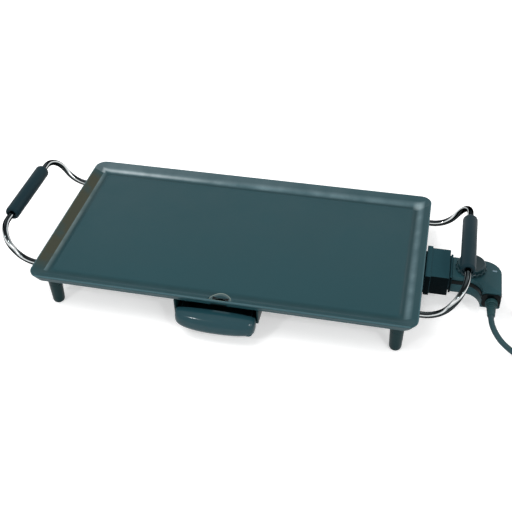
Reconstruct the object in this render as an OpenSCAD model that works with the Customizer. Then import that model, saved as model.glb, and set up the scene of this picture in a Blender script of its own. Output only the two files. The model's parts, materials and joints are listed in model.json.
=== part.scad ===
// Electric griddle: cast plate on four feet, two bail handles, grease tray and plug-in control.
// Millimetres. +X is towards the control, -Y is the front, z = 0 is the table, and x = y = 0 is
// under the middle of the plate.

/* [Plate] */
// Length of the plate over its rim
plate_l = 470; // [430:5:560]
// Depth of the plate over its rim, front to back
plate_w = 250; // [236:2:320]
// Height of the rim above the table
rim_z = 58; // [56:1:70]
// Radius of the rim's corners
corner_r = 14; // [10:1:20]
// Width of the rim's flat top
rim_w = 1.5; // [1:0.5:4]
// Height of the outer skirt
skirt_h = 10.5; // [9:0.5:16]
// Thickness of the skirt
skirt_t = 2.2; // [1.8:0.2:3]
// How far the skirt's lower edge lies inside the rim
skirt_in = 4; // [0:0.5:5]
// Width of the slope inside the rim
slope_w = 14; // [10:1:18]
// Depth of the cooking floor below the rim
floor_drop = 6.5; // [5:0.5:9]
// Thickness of the cooking floor
floor_t = 3.6; // [3.4:0.2:6]
// Width of the gutter round the floor
gutter_w = 6; // [4:1:9]
// Depth of the gutter below the floor
gutter_d = 1.2; // [0.6:0.2:1.6]

/* [Drain] */
// How far the drain sits from the middle, towards the control
drain_x = 3; // [-20:1:20]
// How far the drain's middle lies inside the front edge
drain_in = 9; // [8:0.5:12]
// Diameter of the drain hole
drain_d = 17; // [12:1:18]
// Diameter of the scoop over the drain at the rim's height
scoop_d = 30; // [24:1:36]

/* [Feet] */
// Distance of a foot's axis from the plate's short edge
foot_inset_x = 23; // [20:1:40]
// Distance of a foot's axis from the plate's long edge
foot_inset_y = 23; // [20:1:28]
// Diameter of a foot at its top
foot_top_d = 18; // [16:0.5:20]
// Diameter of a foot near its sole
foot_low_d = 15; // [14:0.5:16]
// Diameter of the casting's boss inside a foot
foot_boss_d = 9; // [8:0.5:10]
// Diameter of a foot screw's shank
foot_screw_d = 4; // [3:0.5:5]

/* [Handles] */
// Diameter of the handle rod
rod_d = 7.6; // [5:0.2:8]
// Distance of each rod leg from the plate's long edge
rod_inset_y = 38; // [36:1:48]
// How far the grip stands out past the plate's short edge
grip_out = 48; // [40:1:60]
// Height of the grip above the rim
grip_up = 28; // [20:1:36]
// Length of the grip
grip_l = 98; // [80:1:120]
// Diameter of the grip
grip_d = 18; // [14:0.5:22]
// Length of rod under the plate
rod_tail = 62; // [56:1:80]
// Radius of the lower bend of the rod
low_bend_r = 34; // [12:1:38]
// Radius of the upper bend of the rod
top_bend_r = 27; // [12:1:30]
// How far the rod runs out level before it rises
knee_out = 22; // [15:1:24]
// Length of a handle clamp along the rod
clamp_l = 24; // [18:1:28]
// Width of a handle clamp beyond the axis of each screw
clamp_edge = 3.2; // [3:0.2:4]

/* [Element] */
// Diameter of the tubular heating element
element_d = 8; // [6.4:0.2:8.4]
// Thickness of the cast strip that the element lies against
pad_t = 2; // [1:0.5:3]
// Distance of the element's rear run from the plate's rear edge
element_back = 57; // [56:1:70]
// Distance of the element's front run from the plate's front edge
element_front = 64; // [62:1:80]
// Distance of the element's end runs from the plate's short edges
element_side = 36; // [34:1:60]
// Radius of the element's bends
element_bend_r = 16; // [12:1:20]
// Distance between the two terminal pins
pin_pitch = 25.4; // [24:0.2:27]
// Diameter of a terminal pin
pin_d = 4.8; // [4:0.1:5.2]

/* [Tray] */
// Width of the tray between its walls' outer faces
tray_w = 88; // [76:2:100]
// How far the tray sits from the middle, towards the control
tray_x = 0; // [-20:1:20]
// Depth of the tray, front to back
tray_l = 76; // [66:1:80]
// Height of the tray's walls
tray_h = 22; // [16:1:24]
// Thickness of the tray's walls
tray_t = 2; // [1.6:0.2:2.6]
// Width of the tray's front
front_w = 94; // [88:1:104]
// Height of the tray's front
front_h = 23; // [18:1:24]
// How far the tray's front stands out
front_out = 19; // [14:1:24]
// Clear height between the tray's walls and the skirt
tray_gap = 11; // [9:0.5:13]
// Length of the rails
rail_l = 48.5; // [40:0.5:60]
// Thickness of the rails
rail_t = 2; // [1.6:0.2:2.4]

/* [Socket] */
// Width of the socket housing
socket_w = 54; // [50:1:60]
// Height of the socket housing
socket_h = 28; // [26:1:30]
// How far the socket housing stands out from its flange
socket_out = 22; // [20:1:28]
// Thickness of the flange against the skirt
flange_t = 6.5; // [4:0.5:8]
// How far the flange stands past the housing on each side
flange_lip = 2.5; // [1:0.5:4]
// Thickness of the socket's walls
socket_t = 4.5; // [3:0.5:5]
// Thickness of the steel bracket under the plate
bracket_t = 1.5; // [1:0.25:2]

/* [Control] */
// Half width of the control's body beside the dial
control_hw = 19.5; // [19.5:0.5:22]
// Height of the control's body
control_h = 23.5; // [22:0.5:25]
// Distance from the socket's face to the dial's axis
dial_out = 25; // [24:1:30]
// Distance from the dial's axis to the far side of the elbow
elbow_out = 38; // [36:1:44]
// Width of the elbow's arm
arm_w = 23.5; // [20:0.5:26]
// Distance of the arm's end from the dial's axis
arm_l = 40; // [39:1:50]
// Wall of the control's shells
shell_t = 1.8; // [1.4:0.2:2.2]
// How far the upper shell is set in from the lower one
shell_step = 1; // [0.5:0.25:1.5]
// Diameter of the dial's lower ring
dial_d = 37; // [32:1:38]
// Diameter of the dial's top
dial_top_d = 33; // [26:1:33]
// Height of the dial
dial_h = 10; // [9:0.5:14]
// Number of finger scallops round the dial
scallops = 18; // [12:1:24]
// Diameter of the dial's shaft
shaft_d = 6; // [5:0.5:7]
// Diameter of the temperature probe
probe_d = 6; // [5:0.5:6.5]
// Length of the probe past the socket's inner wall
probe_l = 86; // [70:1:100]

/* [Cord] */
// Diameter of the mains cord
cord_d = 6.8; // [6.8:0.1:6.8]
// Length of the strain relief outside the control
relief_l = 24; // [20:1:24]
// Diameter of the coil at the middle of its turns
coil_d = 75; // [75:1:75]
// Turns side by side in the coil
coil_wide = 2; // [2:1:2]
// Layers of turns in the coil
coil_high = 3; // [3:1:3]
// Thickness of the strap round the coil
tie_t = 0.8; // [0.8:0.1:0.8]
// Width of the strap round the coil
tie_w = 9; // [6:1:12]
// Diameter of the plug's face
plug_d = 36; // [34:1:36]
// Length of the plug's body behind its face
plug_l = 26; // [24:1:26]
// Diameter of the plug's pins
plug_pin_d = 4.8; // [4.8:0.1:4.8]
// Distance between the plug's pins
plug_pin_pitch = 19; // [19:1:19]

/* [Fits] */
// Radial clearance of a piece that sits still in its hole
snug = 0.05; // [0.02:0.01:0.1]
// Radial clearance of a piece that turns or plugs in
running = 0.1; // [0.05:0.01:0.1]
// Gap between faces that slide past each other
slide_gap = 0.4; // [0.3:0.1:0.6]

/* [Hidden] */

$fn = 48;
eps = 0.01;
big = 400;

// Heights of the plate
skirt_z = rim_z - skirt_h;
floor_z = rim_z - floor_drop;
gutter_z = floor_z - gutter_d;
under_z = floor_z - floor_t;
slope_in = rim_w + slope_w;
foot_x = plate_l / 2 - foot_inset_x;
foot_y = plate_w / 2 - foot_inset_y;
boss_z = under_z - 13.9;
foot_recess_r = 4.4;
foot_recess_z = 9;
sole_in = 2.2;
sole_up = 5;

// Element, terminals and probe share one height
element_z = under_z - pad_t - element_d / 2;
element_turn_r = 10;
pad_w = element_d + 4;
element_x = plate_l / 2 - element_side;
element_rear_y = plate_w / 2 - element_back;
element_front_y = -plate_w / 2 + element_front;
well_r = probe_d / 2 + 4;

// Handles
rod_r = rod_d / 2;
rod_z = under_z - rod_r - snug;
rod_y = plate_w / 2 - rod_inset_y;
rod_knee_x = plate_l / 2 + knee_out;
notch_l = 20;
rod_end_x = plate_l / 2 - rod_tail;
grip_x = plate_l / 2 + grip_out;
grip_z = rim_z + grip_up;
clamp_x = rod_end_x + clamp_l / 2 + 4;

// Screws
screw_d = 3;
screw_head_d = 5.6;
screw_head_h = 2;
clamp_t = 1.5;
clamp_screw_y = rod_r + snug + clamp_t + screw_head_d / 2 + 0.3;
clamp_w = 2 * (clamp_screw_y + clamp_edge);
screw_grip = floor_t - 1.2;

// Socket, outwards from the skirt
bracket_x = plate_l / 2 - 13;
flange_gap = 1.6;
flange_x = plate_l / 2 + flange_gap;
housing_x = flange_x + flange_t;
socket_face_x = housing_x + socket_out;
socket_top = skirt_z + 4.5;
socket_bottom = socket_top - socket_h;
cavity_hw = socket_w / 2 - socket_t;
cavity_top = socket_top - socket_t;
cavity_bottom = socket_bottom + socket_t;
pin_end_x = socket_face_x - 6;
rear_block_x = bracket_x + bracket_t;

// Control
collar_t = 2.5;
collar_x = socket_face_x + 1;
nose_back_x = housing_x + 1;
shell_x = collar_x + collar_t;
control_top = skirt_z + 1;
control_bottom = control_top - control_h;
split_z = control_bottom + 12;
dial_x = socket_face_x + dial_out;
elbow_x = dial_x + elbow_out;
arm_x = elbow_x - arm_w;
outer_r = arm_w - 0.5;
inner_r = arm_x - (dial_x - 5.5);
nose_hw = cavity_hw - slide_gap;
nose_top = cavity_top - slide_gap;
nose_bottom = cavity_bottom + slide_gap;
dial_z = control_top + slide_gap;
arm_end_y = -arm_l;
probe_tip_x = housing_x - probe_l;
sleeve_t = 1;
sleeve_l = 17;
block_l = 22;
block_w = 24;
block_z = control_bottom + shell_t;
block_h = 10;
lens_l = 5.5;
lens_w = 3;
lens_x = elbow_x - 9.5;
lamp_d = 4.4;
lamp_drop = 6;

// Tray
tray_top = skirt_z - tray_gap;
tray_bottom = tray_top - tray_h;
tray_front_y = -plate_w / 2 + 2;
rib_z = tray_bottom + tray_h * 0.65;
rib_h = 2;
rib_out = 5;
rail_in = tray_w / 2 + rib_out + slide_gap;
rail_front_y = -plate_w / 2 + skirt_in + skirt_t + 1;
rail_nose = skirt_in - 0.5;
rail_lip_z = rib_z - slide_gap - rail_t;
front_top = skirt_z - 7.5;
front_ball_r = 8.5;
front_bow = front_out - 2 * (front_ball_r - 4) - 1;
front_lap = 0.5;

// Screws that hold the control's shells together
shell_screw_d = 2.6;
shell_screw_l = 8;
arm_screw_in = 14;
shell_screw_spots = [
    [shell_x + 7, control_hw - 6], [shell_x + 7, 6 - control_hw], [elbow_x - 8, arm_end_y + arm_screw_in]
];

// Cord
cord_r = cord_d / 2;
relief_x = elbow_x - arm_w / 2 + 0.75;
relief_neck_r = 4.4;
relief_flange = 6;
relief_inside = 4;
relief_z = control_bottom + 9;
coil_x = 400;
coil_y = -56;
coil_in = coil_d / 2 - coil_wide * cord_r;
coil_out = coil_d / 2 + coil_wide * cord_r;
coil_top = tie_t + coil_high * cord_d;
tie_angle = 150;
plug_x = 441;
plug_back_y = -2;
plug_face_y = plug_back_y + plug_l;
plug_pin_l = 19;
neck_l = 14;

// Route of the cord from the strain relief to the coil, and from the coil to the plug
cord_route = [
    [317, -64, 34], [317, -66, 34], [317.5, -71.8, 33.7], [318.8, -77.4, 32.6],
    [321.1, -82.6, 30.9], [324.1, -87.1, 28.7], [327.7, -90.7, 25.9], [331.9, -93.4, 22.8],
    [338.3, -95.9, 18.6], [345, -97.9, 14.7], [352, -99.4, 11.4], [359.5, -100.4, 8.6],
    [367, -100.9, 6.5], [375, -100.8, 5.1], [383, -100.1, 4.4], [391.5, -98.8, 4.2],
    [400, -97, 4.2]
];
tail_route = [
    [440.5, -62, 11], [441, -57, 11], [441, -52, 11], [441, -47, 11], [441, -44, 11.05],
    [441, -41, 11.3], [441, -37, 12.15], [441, -33.5, 13.45], [441, -29.4, 15.55],
    [441, -26, 16.8], [441, -22, 17.7], [441, -18.5, 18], [441, -16, 18]
];

function unit(v) = v / norm(v);

// Direction of a route at point i
function heading(p, i) = unit(p[min(i + 1, len(p) - 1)] - p[max(i - 1, 0)]);

// Ring of n points of radius r round point i, square to the route
function ring(p, i, r, n) =
    let (t = heading(p, i), side = unit(cross(t, [0, 0, 1])), up = cross(side, t))
    [for (k = [0:n - 1]) p[i] + r * (cos(360 * k / n) * side + sin(360 * k / n) * up)];

// Points of an arc about c, from angle a to angle b
function arc(c, r, a, b, n) =
    [for (k = [0:n]) c + r * [cos(a + (b - a) * k / n), sin(a + (b - a) * k / n)]];

// Route through points p with a round bend of radius bends[i] at each inner point
function bent_route(p, bends, n = 8) =
    let (last = len(p) - 1)
    [for (i = [0:last])
        if (i == 0 || i == last) p[i]
        else
            let (u = unit(p[i] - p[i - 1]), w = unit(p[i + 1] - p[i]), turn = acos(u * w),
                 radius = bends[i - 1],
                 centre = p[i] + unit(w - u) * radius / cos(turn / 2),
                 x = unit(p[i] - u * radius * tan(turn / 2) - centre))
            each [for (k = [0:n])
                centre + radius * (cos(turn * k / n) * x + sin(turn * k / n) * u)]];

// Plain tube of radius r swept along a route
module swept(p, r, n = 10) {
    rings = len(p);
    points = [for (i = [0:rings - 1]) each ring(p, i, r, n)];
    sides = [for (i = [0:rings - 2], k = [0:n - 1])
        let (a = i * n + k, b = i * n + (k + 1) % n)
        each [[a, b, b + n], [a, b + n, a + n]]];
    ends = [[for (k = [n - 1:-1:0]) k], [for (k = [0:n - 1]) (rings - 1) * n + k]];
    polyhedron(points, concat(sides, ends), convexity = 6);
}

// Straight round bar from a to b
module bar(a, b, r) {
    v = b - a;
    translate(a)
        rotate([0, acos(v.z / norm(v)), atan2(v.y, v.x)])
            cylinder(h = norm(v), r = r);
}

// Round bend at corner p between directions u and w, with bend radius big_r
module bend(p, u, w, big_r, r) {
    turn = acos(u * w);
    centre = p + unit(w - u) * big_r / cos(turn / 2);
    x = unit(p - u * big_r * tan(turn / 2) - centre);
    z = unit(cross(u, w));
    y = cross(z, x);
    multmatrix([
        [x.x, y.x, z.x, centre.x], [x.y, y.y, z.y, centre.y], [x.z, y.z, z.z, centre.z],
        [0, 0, 0, 1]
    ])
        rotate_extrude(angle = turn) translate([big_r, 0]) circle(r = r);
}

// Round bar through points p with a bend of radius bends[i] at each inner point
module bent_bar(p, bends, r) {
    last = len(p) - 1;
    dirs = [for (i = [0:last - 1]) unit(p[i + 1] - p[i])];
    cut = [for (i = [0:last])
        i == 0 || i == last ? 0 : bends[i - 1] * tan(acos(dirs[i - 1] * dirs[i]) / 2)];
    for (i = [0:last - 1])
        bar(p[i] + dirs[i] * cut[i], p[i + 1] - dirs[i] * cut[i + 1], r);
    for (i = [1:last - 1]) bend(p[i], dirs[i - 1], dirs[i], bends[i - 1], r);
}

// Flat rectangle with true round corners
module rounded(l, w, r) {
    square([l - 2 * r, w], center = true);
    square([l, w - 2 * r], center = true);
    for (x = [-1, 1], y = [-1, 1]) translate([x * (l / 2 - r), y * (w / 2 - r)]) circle(r = r);
}

// Thin plan of the plate, inset from the rim, for hulls
module plan_at(z, inset, r) {
    translate([0, 0, z])
        for (x = [-1, 1], y = [-1, 1])
            translate([x * (plate_l / 2 - inset - r), y * (plate_w / 2 - inset - r), 0])
                cylinder(h = eps, r = r, $fn = 32);
}

// Box given by its low and high corners
module block(low, high) {
    translate(low) cube(high - low);
}

// Pan-head screw: its head hangs below z = 0 and its shank points up
module screw(d, shank, head_d = screw_head_d, head_h = screw_head_h) {
    cylinder(h = shank, d = d);
    difference() {
        translate([0, 0, -head_h]) cylinder(h = head_h, d = head_d);
        for (a = [0, 90])
            rotate(a) translate([-head_d * 0.3, -0.4, -head_h - eps]) cube([head_d * 0.6, 0.8, 1]);
    }
}

// Places of the repeated fasteners
strap_spots = [
    [-element_x * 0.5, element_rear_y], [element_x * 0.4, element_rear_y],
    [-element_x * 0.6, element_front_y], [element_x * 0.55, element_front_y]
];
clamp_spots = [for (x = [-1, 1], y = [-1, 1]) [x * clamp_x, y * rod_y]];
rail_screw_y = [for (s = [0.4, 0.88]) rail_front_y + rail_l * s];
rail_screw_x = rail_in + rail_t + 6;
bracket_hw = socket_w / 2 - 1;
bracket_foot_x = bracket_x - 8;
bracket_screw_y = (pin_pitch / 2 + element_d / 2 + bracket_hw) / 2;
housing_screw_y = bracket_hw - 5;
housing_screw_z = socket_bottom + 7;

module element_path(r, z) {
    e = pin_pitch / 2;
    path = [
        [bracket_x, e, z], [element_x, e, z], [element_x, element_rear_y, z],
        [-element_x, element_rear_y, z], [-element_x, element_front_y, z],
        [element_x, element_front_y, z], [element_x, -e, z], [bracket_x, -e, z]
    ];
    small = min(element_turn_r, bracket_x - element_x - 2);
    bent_bar(path, [small, element_bend_r, element_bend_r, element_bend_r, element_bend_r, small], r);
}

// Cast strip above the element, flat against the floor's underside
module element_pad() {
    z = under_z - pad_t;
    t = pad_t + eps;
    half = pad_w / 2;
    for (y = [element_rear_y, element_front_y])
        block([-element_x - half, y - half, z], [element_x + half, y + half, z + t]);
    block([-element_x - half, element_front_y, z], [-element_x + half, element_rear_y, z + t]);
    block([element_x - half, element_front_y, z], [element_x + half, element_rear_y, z + t]);
}

module plate_shell() {
    difference() {
        union() {
            difference() {
                hull() {
                    plan_at(rim_z - eps, 0, corner_r);
                    plan_at(skirt_z, skirt_in, corner_r);
                }
                hull() {
                    plan_at(rim_z, skirt_t, corner_r - skirt_t);
                    plan_at(skirt_z - eps, skirt_in + skirt_t, corner_r - skirt_t);
                }
            }
            hull() {
                plan_at(rim_z - eps, 0, corner_r);
                plan_at(under_z, slope_in - 3.5, 9);
            }
        }
        difference() {
            hull() {
                plan_at(rim_z + 1, rim_w - slope_w / floor_drop, corner_r - 0.5);
                plan_at(gutter_z, slope_in, 6);
            }
            hull() {
                plan_at(gutter_z - 1, slope_in + gutter_w - 1.5, 4);
                plan_at(floor_z - eps, slope_in + gutter_w, 4);
            }
        }
    }
}

module griddle_plate() {
    drain_y = -plate_w / 2 + drain_in;
    color("#2f4d54")
        difference() {
            union() {
                plate_shell();
                element_pad();
                for (x = [-1, 1], y = [-1, 1])
                    translate([x * foot_x, y * foot_y, boss_z])
                        cylinder(h = under_z - boss_z + eps, d = foot_boss_d);
                translate([probe_tip_x - 4, 0, 0])
                    block([0, -well_r, element_z - well_r],
                          [bracket_x - 1 - probe_tip_x + 4, well_r, under_z + eps]);
            }
            intersection() {
                translate([drain_x, drain_y, skirt_z]) {
                    cylinder(h = skirt_h, d = drain_d);
                    translate([0, 0, gutter_z - 1 - skirt_z])
                        cylinder(h = rim_z - gutter_z + 1 + eps, d1 = drain_d, d2 = scoop_d);
                }
                hull() {
                    plan_at(rim_z, rim_w, corner_r - rim_w);
                    plan_at(skirt_z - eps, skirt_in + skirt_t, corner_r - skirt_t);
                }
            }
            for (x = [-1, 1], y = [-1, 1])
                translate([x * foot_x, y * foot_y, boss_z - eps])
                    cylinder(h = gutter_z - 1 - boss_z, r = foot_screw_d / 2 + snug);
            for (x = [-1, 1], y = [-1, 1])
                translate([x * (plate_l / 2 - 6), y * rod_y, rod_z])
                    rotate([0, 90, 0]) cylinder(h = notch_l, r = rod_r + 0.4, center = true);
            translate([probe_tip_x - 1, 0, element_z])
                rotate([0, 90, 0]) cylinder(h = big, r = probe_d / 2 + slide_gap);
            for (p = strap_spots, s = [-1, 1])
                translate([p.x, p.y + s * (pad_w / 2 + 4), under_z - eps])
                    cylinder(h = screw_grip, r = screw_d / 2 + snug);
            for (p = clamp_spots, s = [-1, 1])
                translate([p.x, p.y + s * clamp_screw_y, under_z - eps])
                    cylinder(h = screw_grip, r = screw_d / 2 + snug);
            for (s = [-1, 1], y = rail_screw_y)
                translate([tray_x + s * rail_screw_x, y, under_z - eps])
                    cylinder(h = screw_grip, r = screw_d / 2 + snug);
            for (y = [-1, 1])
                translate([bracket_foot_x, y * bracket_screw_y, under_z - eps])
                    cylinder(h = screw_grip, r = screw_d / 2 + snug);
        }
}

module heating_element() {
    color("#7d7a74") element_path(element_d / 2 - snug, element_z);
}

module terminal_pins() {
    color("#c9c6bd")
        for (y = [-1, 1])
            translate([bracket_x, y * pin_pitch / 2, element_z])
                rotate([0, 90, 0]) {
                    cylinder(h = pin_end_x - bracket_x - 1.5, d = pin_d);
                    translate([0, 0, pin_end_x - bracket_x - 1.5])
                        cylinder(h = 1.5, d1 = pin_d, d2 = pin_d - 2);
                }
}

// Straps that hold the element's runs against the cast strip
module element_straps() {
    t = 1;
    color("#8d8f8e")
        for (p = strap_spots)
            translate([p.x, p.y, 0])
                difference() {
                    union() {
                        block([-5, -pad_w / 2 - 8, under_z - t], [5, pad_w / 2 + 8, under_z]);
                        block([-5, -pad_w / 2 - t - snug, element_z - element_d / 2 - t],
                              [5, pad_w / 2 + t + snug, under_z]);
                    }
                    block([-6, -pad_w / 2 - snug, element_z - element_d / 2],
                          [6, pad_w / 2 + snug, under_z + 1]);
                    for (s = [-1, 1])
                        translate([0, s * (pad_w / 2 + 4), under_z - 2 * t])
                            cylinder(h = 3 * t, r = screw_d / 2 + snug);
                }
}

module strap_screws() {
    color("#b9babb")
        for (p = strap_spots, s = [-1, 1])
            translate([p.x, p.y + s * (pad_w / 2 + 4), under_z - 1]) screw(screw_d, screw_grip);
}

// Steel angle that carries the socket under the plate
module socket_bracket() {
    low = [bracket_foot_x - 6, well_r + 1, under_z - bracket_t];
    high = [bracket_x + bracket_t, bracket_hw, under_z];
    color("#9a9c9c")
        difference() {
            union() {
                for (s = [0, 1]) mirror([0, s, 0]) block(low, high);
                block([bracket_x, -bracket_hw, socket_bottom + 2],
                      [bracket_x + bracket_t, bracket_hw, under_z]);
            }
            for (y = [-1, 1])
                translate([bracket_x - 1, y * pin_pitch / 2, element_z])
                    rotate([0, 90, 0]) cylinder(h = 4, r = pin_d / 2 + 1);
            translate([bracket_x - 1, 0, element_z])
                rotate([0, 90, 0]) cylinder(h = 4, r = probe_d / 2 + 1);
            for (y = [-1, 1]) {
                translate([bracket_foot_x, y * bracket_screw_y, under_z - 3])
                    cylinder(h = 4, r = screw_d / 2 + snug);
                translate([bracket_x - 1, y * housing_screw_y, housing_screw_z])
                    rotate([0, 90, 0]) cylinder(h = 4, r = screw_d / 2 + snug);
            }
        }
}

module socket_screws() {
    color("#b9babb")
        for (y = [-1, 1]) {
            translate([bracket_foot_x, y * bracket_screw_y, under_z - bracket_t])
                screw(screw_d, screw_grip);
            translate([bracket_x, y * housing_screw_y, housing_screw_z])
                rotate([0, 90, 0]) screw(screw_d, 10);
        }
}

module socket_housing() {
    hw = socket_w / 2;
    color("#14282b")
        difference() {
            union() {
                block([rear_block_x, -hw, socket_bottom], [flange_x + eps, hw, skirt_z - 1.7]);
                block([flange_x, -hw - flange_lip, socket_bottom - 1],
                      [housing_x, hw + flange_lip, socket_top + 1]);
                block([housing_x - eps, -hw, socket_bottom], [socket_face_x, hw, socket_top]);
            }
            block([housing_x, -cavity_hw, cavity_bottom], [socket_face_x + 1, cavity_hw, cavity_top]);
            for (y = [-1, 1])
                translate([rear_block_x - 1, y * pin_pitch / 2, element_z])
                    rotate([0, 90, 0]) cylinder(h = big, r = pin_d / 2 + snug);
            translate([rear_block_x - 1, 0, element_z])
                rotate([0, 90, 0]) cylinder(h = big, r = probe_d / 2 + slide_gap);
            translate([rear_block_x - 1, -3 - snug, cavity_bottom + 2 - snug])
                cube([big, 6 + 2 * snug, 1 + 2 * snug]);
            for (y = [-1, 1])
                translate([rear_block_x - 1, y * housing_screw_y, housing_screw_z])
                    rotate([0, 90, 0]) cylinder(h = 12, r = screw_d / 2 + snug);
        }
}

// Flat earth contact below the probe
module earth_blade() {
    color("#c8a24c")
        block([rear_block_x, -3, cavity_bottom + 2], [pin_end_x, 3, cavity_bottom + 3]);
}

module foot(x, y) {
    r_low = foot_low_d / 2;
    profile = concat(
        [[foot_recess_r, 0]],
        [for (a = [0:15:90])
            [r_low - sole_in * (1 - sin(a)), sole_up * (1 - cos(a))]],
        [[foot_top_d / 2, skirt_z - 1.5], [foot_top_d / 2 - 0.6, skirt_z]],
        [[foot_boss_d / 2 + running, skirt_z], [foot_boss_d / 2 + running, boss_z],
         [foot_screw_d / 2 + running, boss_z], [foot_screw_d / 2 + running, foot_recess_z],
         [foot_recess_r, foot_recess_z]]
    );
    color("#1d3033") translate([x, y, 0]) rotate_extrude() polygon(profile);
}

module foot_front_left() {
    foot(-foot_x, -foot_y);
}

module foot_front_right() {
    foot(foot_x, -foot_y);
}

module foot_back_left() {
    foot(-foot_x, foot_y);
}

module foot_back_right() {
    foot(foot_x, foot_y);
}

module foot_screws() {
    color("#b9babb")
        for (x = [-1, 1], y = [-1, 1])
            translate([x * foot_x, y * foot_y, foot_recess_z])
                screw(foot_screw_d, gutter_z - 2 - foot_recess_z, head_d = 8, head_h = 3);
}

// Rod on the right; the left one is its mirror image
module handle_rod() {
    path = [
        [rod_end_x, rod_y, rod_z], [rod_knee_x, rod_y, rod_z], [grip_x, rod_y, grip_z],
        [grip_x, -rod_y, grip_z], [rod_knee_x, -rod_y, rod_z], [rod_end_x, -rod_y, rod_z]
    ];
    bends = [low_bend_r, top_bend_r, top_bend_r, low_bend_r];
    color("#c4c6c8") swept(bent_route(path, bends), rod_r, 16);
}

module right_handle_rod() {
    handle_rod();
}

module left_handle_rod() {
    mirror([1, 0, 0]) handle_rod();
}

module grip(x) {
    r = grip_d / 2;
    e = 3;
    bore = rod_r + snug;
    profile = concat(
        [[bore, -grip_l / 2]],
        arc([r - e, -grip_l / 2 + e], e, -90, 0, 6),
        arc([r - e, grip_l / 2 - e], e, 0, 90, 6),
        [[bore, grip_l / 2]]
    );
    color("#1b2b2e")
        translate([x, 0, grip_z]) rotate([-90, 0, 0]) rotate_extrude() polygon(profile);
}

module right_grip() {
    grip(grip_x);
}

module left_grip() {
    grip(-grip_x);
}

module handle_clamps() {
    color("#8d8f8e")
        for (p = clamp_spots)
            translate([p.x, p.y, 0])
                difference() {
                    union() {
                        block([-clamp_l / 2, -clamp_w / 2, under_z - clamp_t],
                              [clamp_l / 2, clamp_w / 2, under_z]);
                        translate([0, 0, rod_z])
                            rotate([0, 90, 0])
                                cylinder(h = clamp_l, r = rod_r + snug + clamp_t, center = true);
                    }
                    translate([0, 0, rod_z])
                        rotate([0, 90, 0])
                            cylinder(h = clamp_l + 2, r = rod_r + snug, center = true);
                    block([-clamp_l, -rod_r - snug, rod_z], [clamp_l, rod_r + snug, under_z + 9]);
                    block([-clamp_l, -clamp_w, under_z], [clamp_l, clamp_w, under_z + 9]);
                    for (s = [-1, 1])
                        translate([0, s * clamp_screw_y, under_z - 4])
                            cylinder(h = 9, r = screw_d / 2 + snug);
                }
}

module clamp_screws() {
    color("#b9babb")
        for (p = clamp_spots, s = [-1, 1])
            translate([p.x, p.y + s * clamp_screw_y, under_z - clamp_t])
                screw(screw_d, screw_grip);
}

// Rail on the side s of the tray: -1 is the left one
module tray_rail(s) {
    color("#182a2d")
        translate([tray_x, rail_front_y, 0])
            mirror([s < 0 ? 1 : 0, 0, 0])
                difference() {
                    union() {
                        block([rail_in, 0, rail_lip_z], [rail_in + rail_t, rail_l, under_z]);
                        block([rail_in, -rail_nose, rail_lip_z], [rail_in + rail_t, eps, skirt_z - 1]);
                        block([rail_in, 0, under_z - rail_t], [rail_screw_x + 5, rail_l, under_z]);
                        block([rail_in - 4, -rail_nose, rail_lip_z],
                              [rail_in + eps, rail_l, rail_lip_z + rail_t]);
                    }
                    for (y = rail_screw_y)
                        translate([rail_screw_x, y - rail_front_y, under_z - 2 * rail_t])
                            cylinder(h = 3 * rail_t, r = screw_d / 2 + snug);
                }
}

module left_tray_rail() {
    tray_rail(-1);
}

module right_tray_rail() {
    tray_rail(1);
}

module rail_screws() {
    color("#b9babb")
        for (s = [-1, 1], y = rail_screw_y)
            translate([tray_x + s * rail_screw_x, y, under_z - rail_t])
                screw(screw_d, screw_grip);
}

// Pillow-shaped front: a bar along the top, a bowed row of balls and a bar along the bottom
module tray_front() {
    half = front_w / 2;
    bottom = front_top - front_h;
    hull() {
        for (s = [-1, 1]) translate([s * (half - 7), tray_front_y + front_lap - 1.5, front_top - 1.5])
            sphere(r = 1.5, $fn = 16);
        for (s = [-1, 1]) translate([s * (half - 4), tray_front_y + front_lap - 3, bottom + 6])
            sphere(r = 3, $fn = 16);
        for (k = [-3:3]) {
            out = pow(k / 3, 2);
            r = front_ball_r - 4 * out;
            translate([k / 3 * (half - r), tray_front_y - front_out + r + front_bow * out,
                       bottom + front_ball_r - 2.5 * out])
                sphere(r = r, $fn = 26);
        }
    }
}

module drip_tray() {
    mid_y = tray_front_y + tray_l / 2;
    color("#22393d")
        translate([tray_x, 0, 0]) {
            difference() {
                union() {
                    translate([0, mid_y, tray_bottom])
                        linear_extrude(tray_h) rounded(tray_w, tray_l, 5);
                    for (s = [-1, 1])
                        translate([s * (tray_w / 2 - 1 + rib_out / 2), mid_y, rib_z + rib_h / 2])
                            cube([rib_out + 2, tray_l - 14, rib_h], center = true);
                    tray_front();
                }
                translate([0, mid_y, tray_bottom + tray_t])
                    linear_extrude(big) rounded(tray_w - 2 * tray_t, tray_l - 2 * tray_t, 4);
            }
        }
}

// Plan of the control: a straight deck that turns into an arm towards the front
module control_plan(inset) {
    hw = control_hw - inset;
    r = outer_r - inset;
    c = [elbow_x - outer_r, control_hw - outer_r];
    translate([shell_x, -hw]) square([c.x - shell_x, 2 * hw]);
    translate(c) circle(r = r);
    translate([arm_x + inset, arm_end_y + inset])
        square([arm_w - 2 * inset, c.y - arm_end_y - inset]);
    difference() {
        translate([arm_x - inner_r, -control_hw - inner_r])
            square([inner_r + inset + eps, inner_r + inset + eps]);
        translate([arm_x - inner_r, -control_hw - inner_r]) circle(r = inner_r + inset);
    }
}

// Hollow of a shell: it stops a wall short of the collar
module control_hollow(inset, height) {
    intersection() {
        linear_extrude(height) control_plan(inset);
        block([shell_x + shell_t, -big, -1], [big, big, height + 1]);
    }
}

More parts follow.
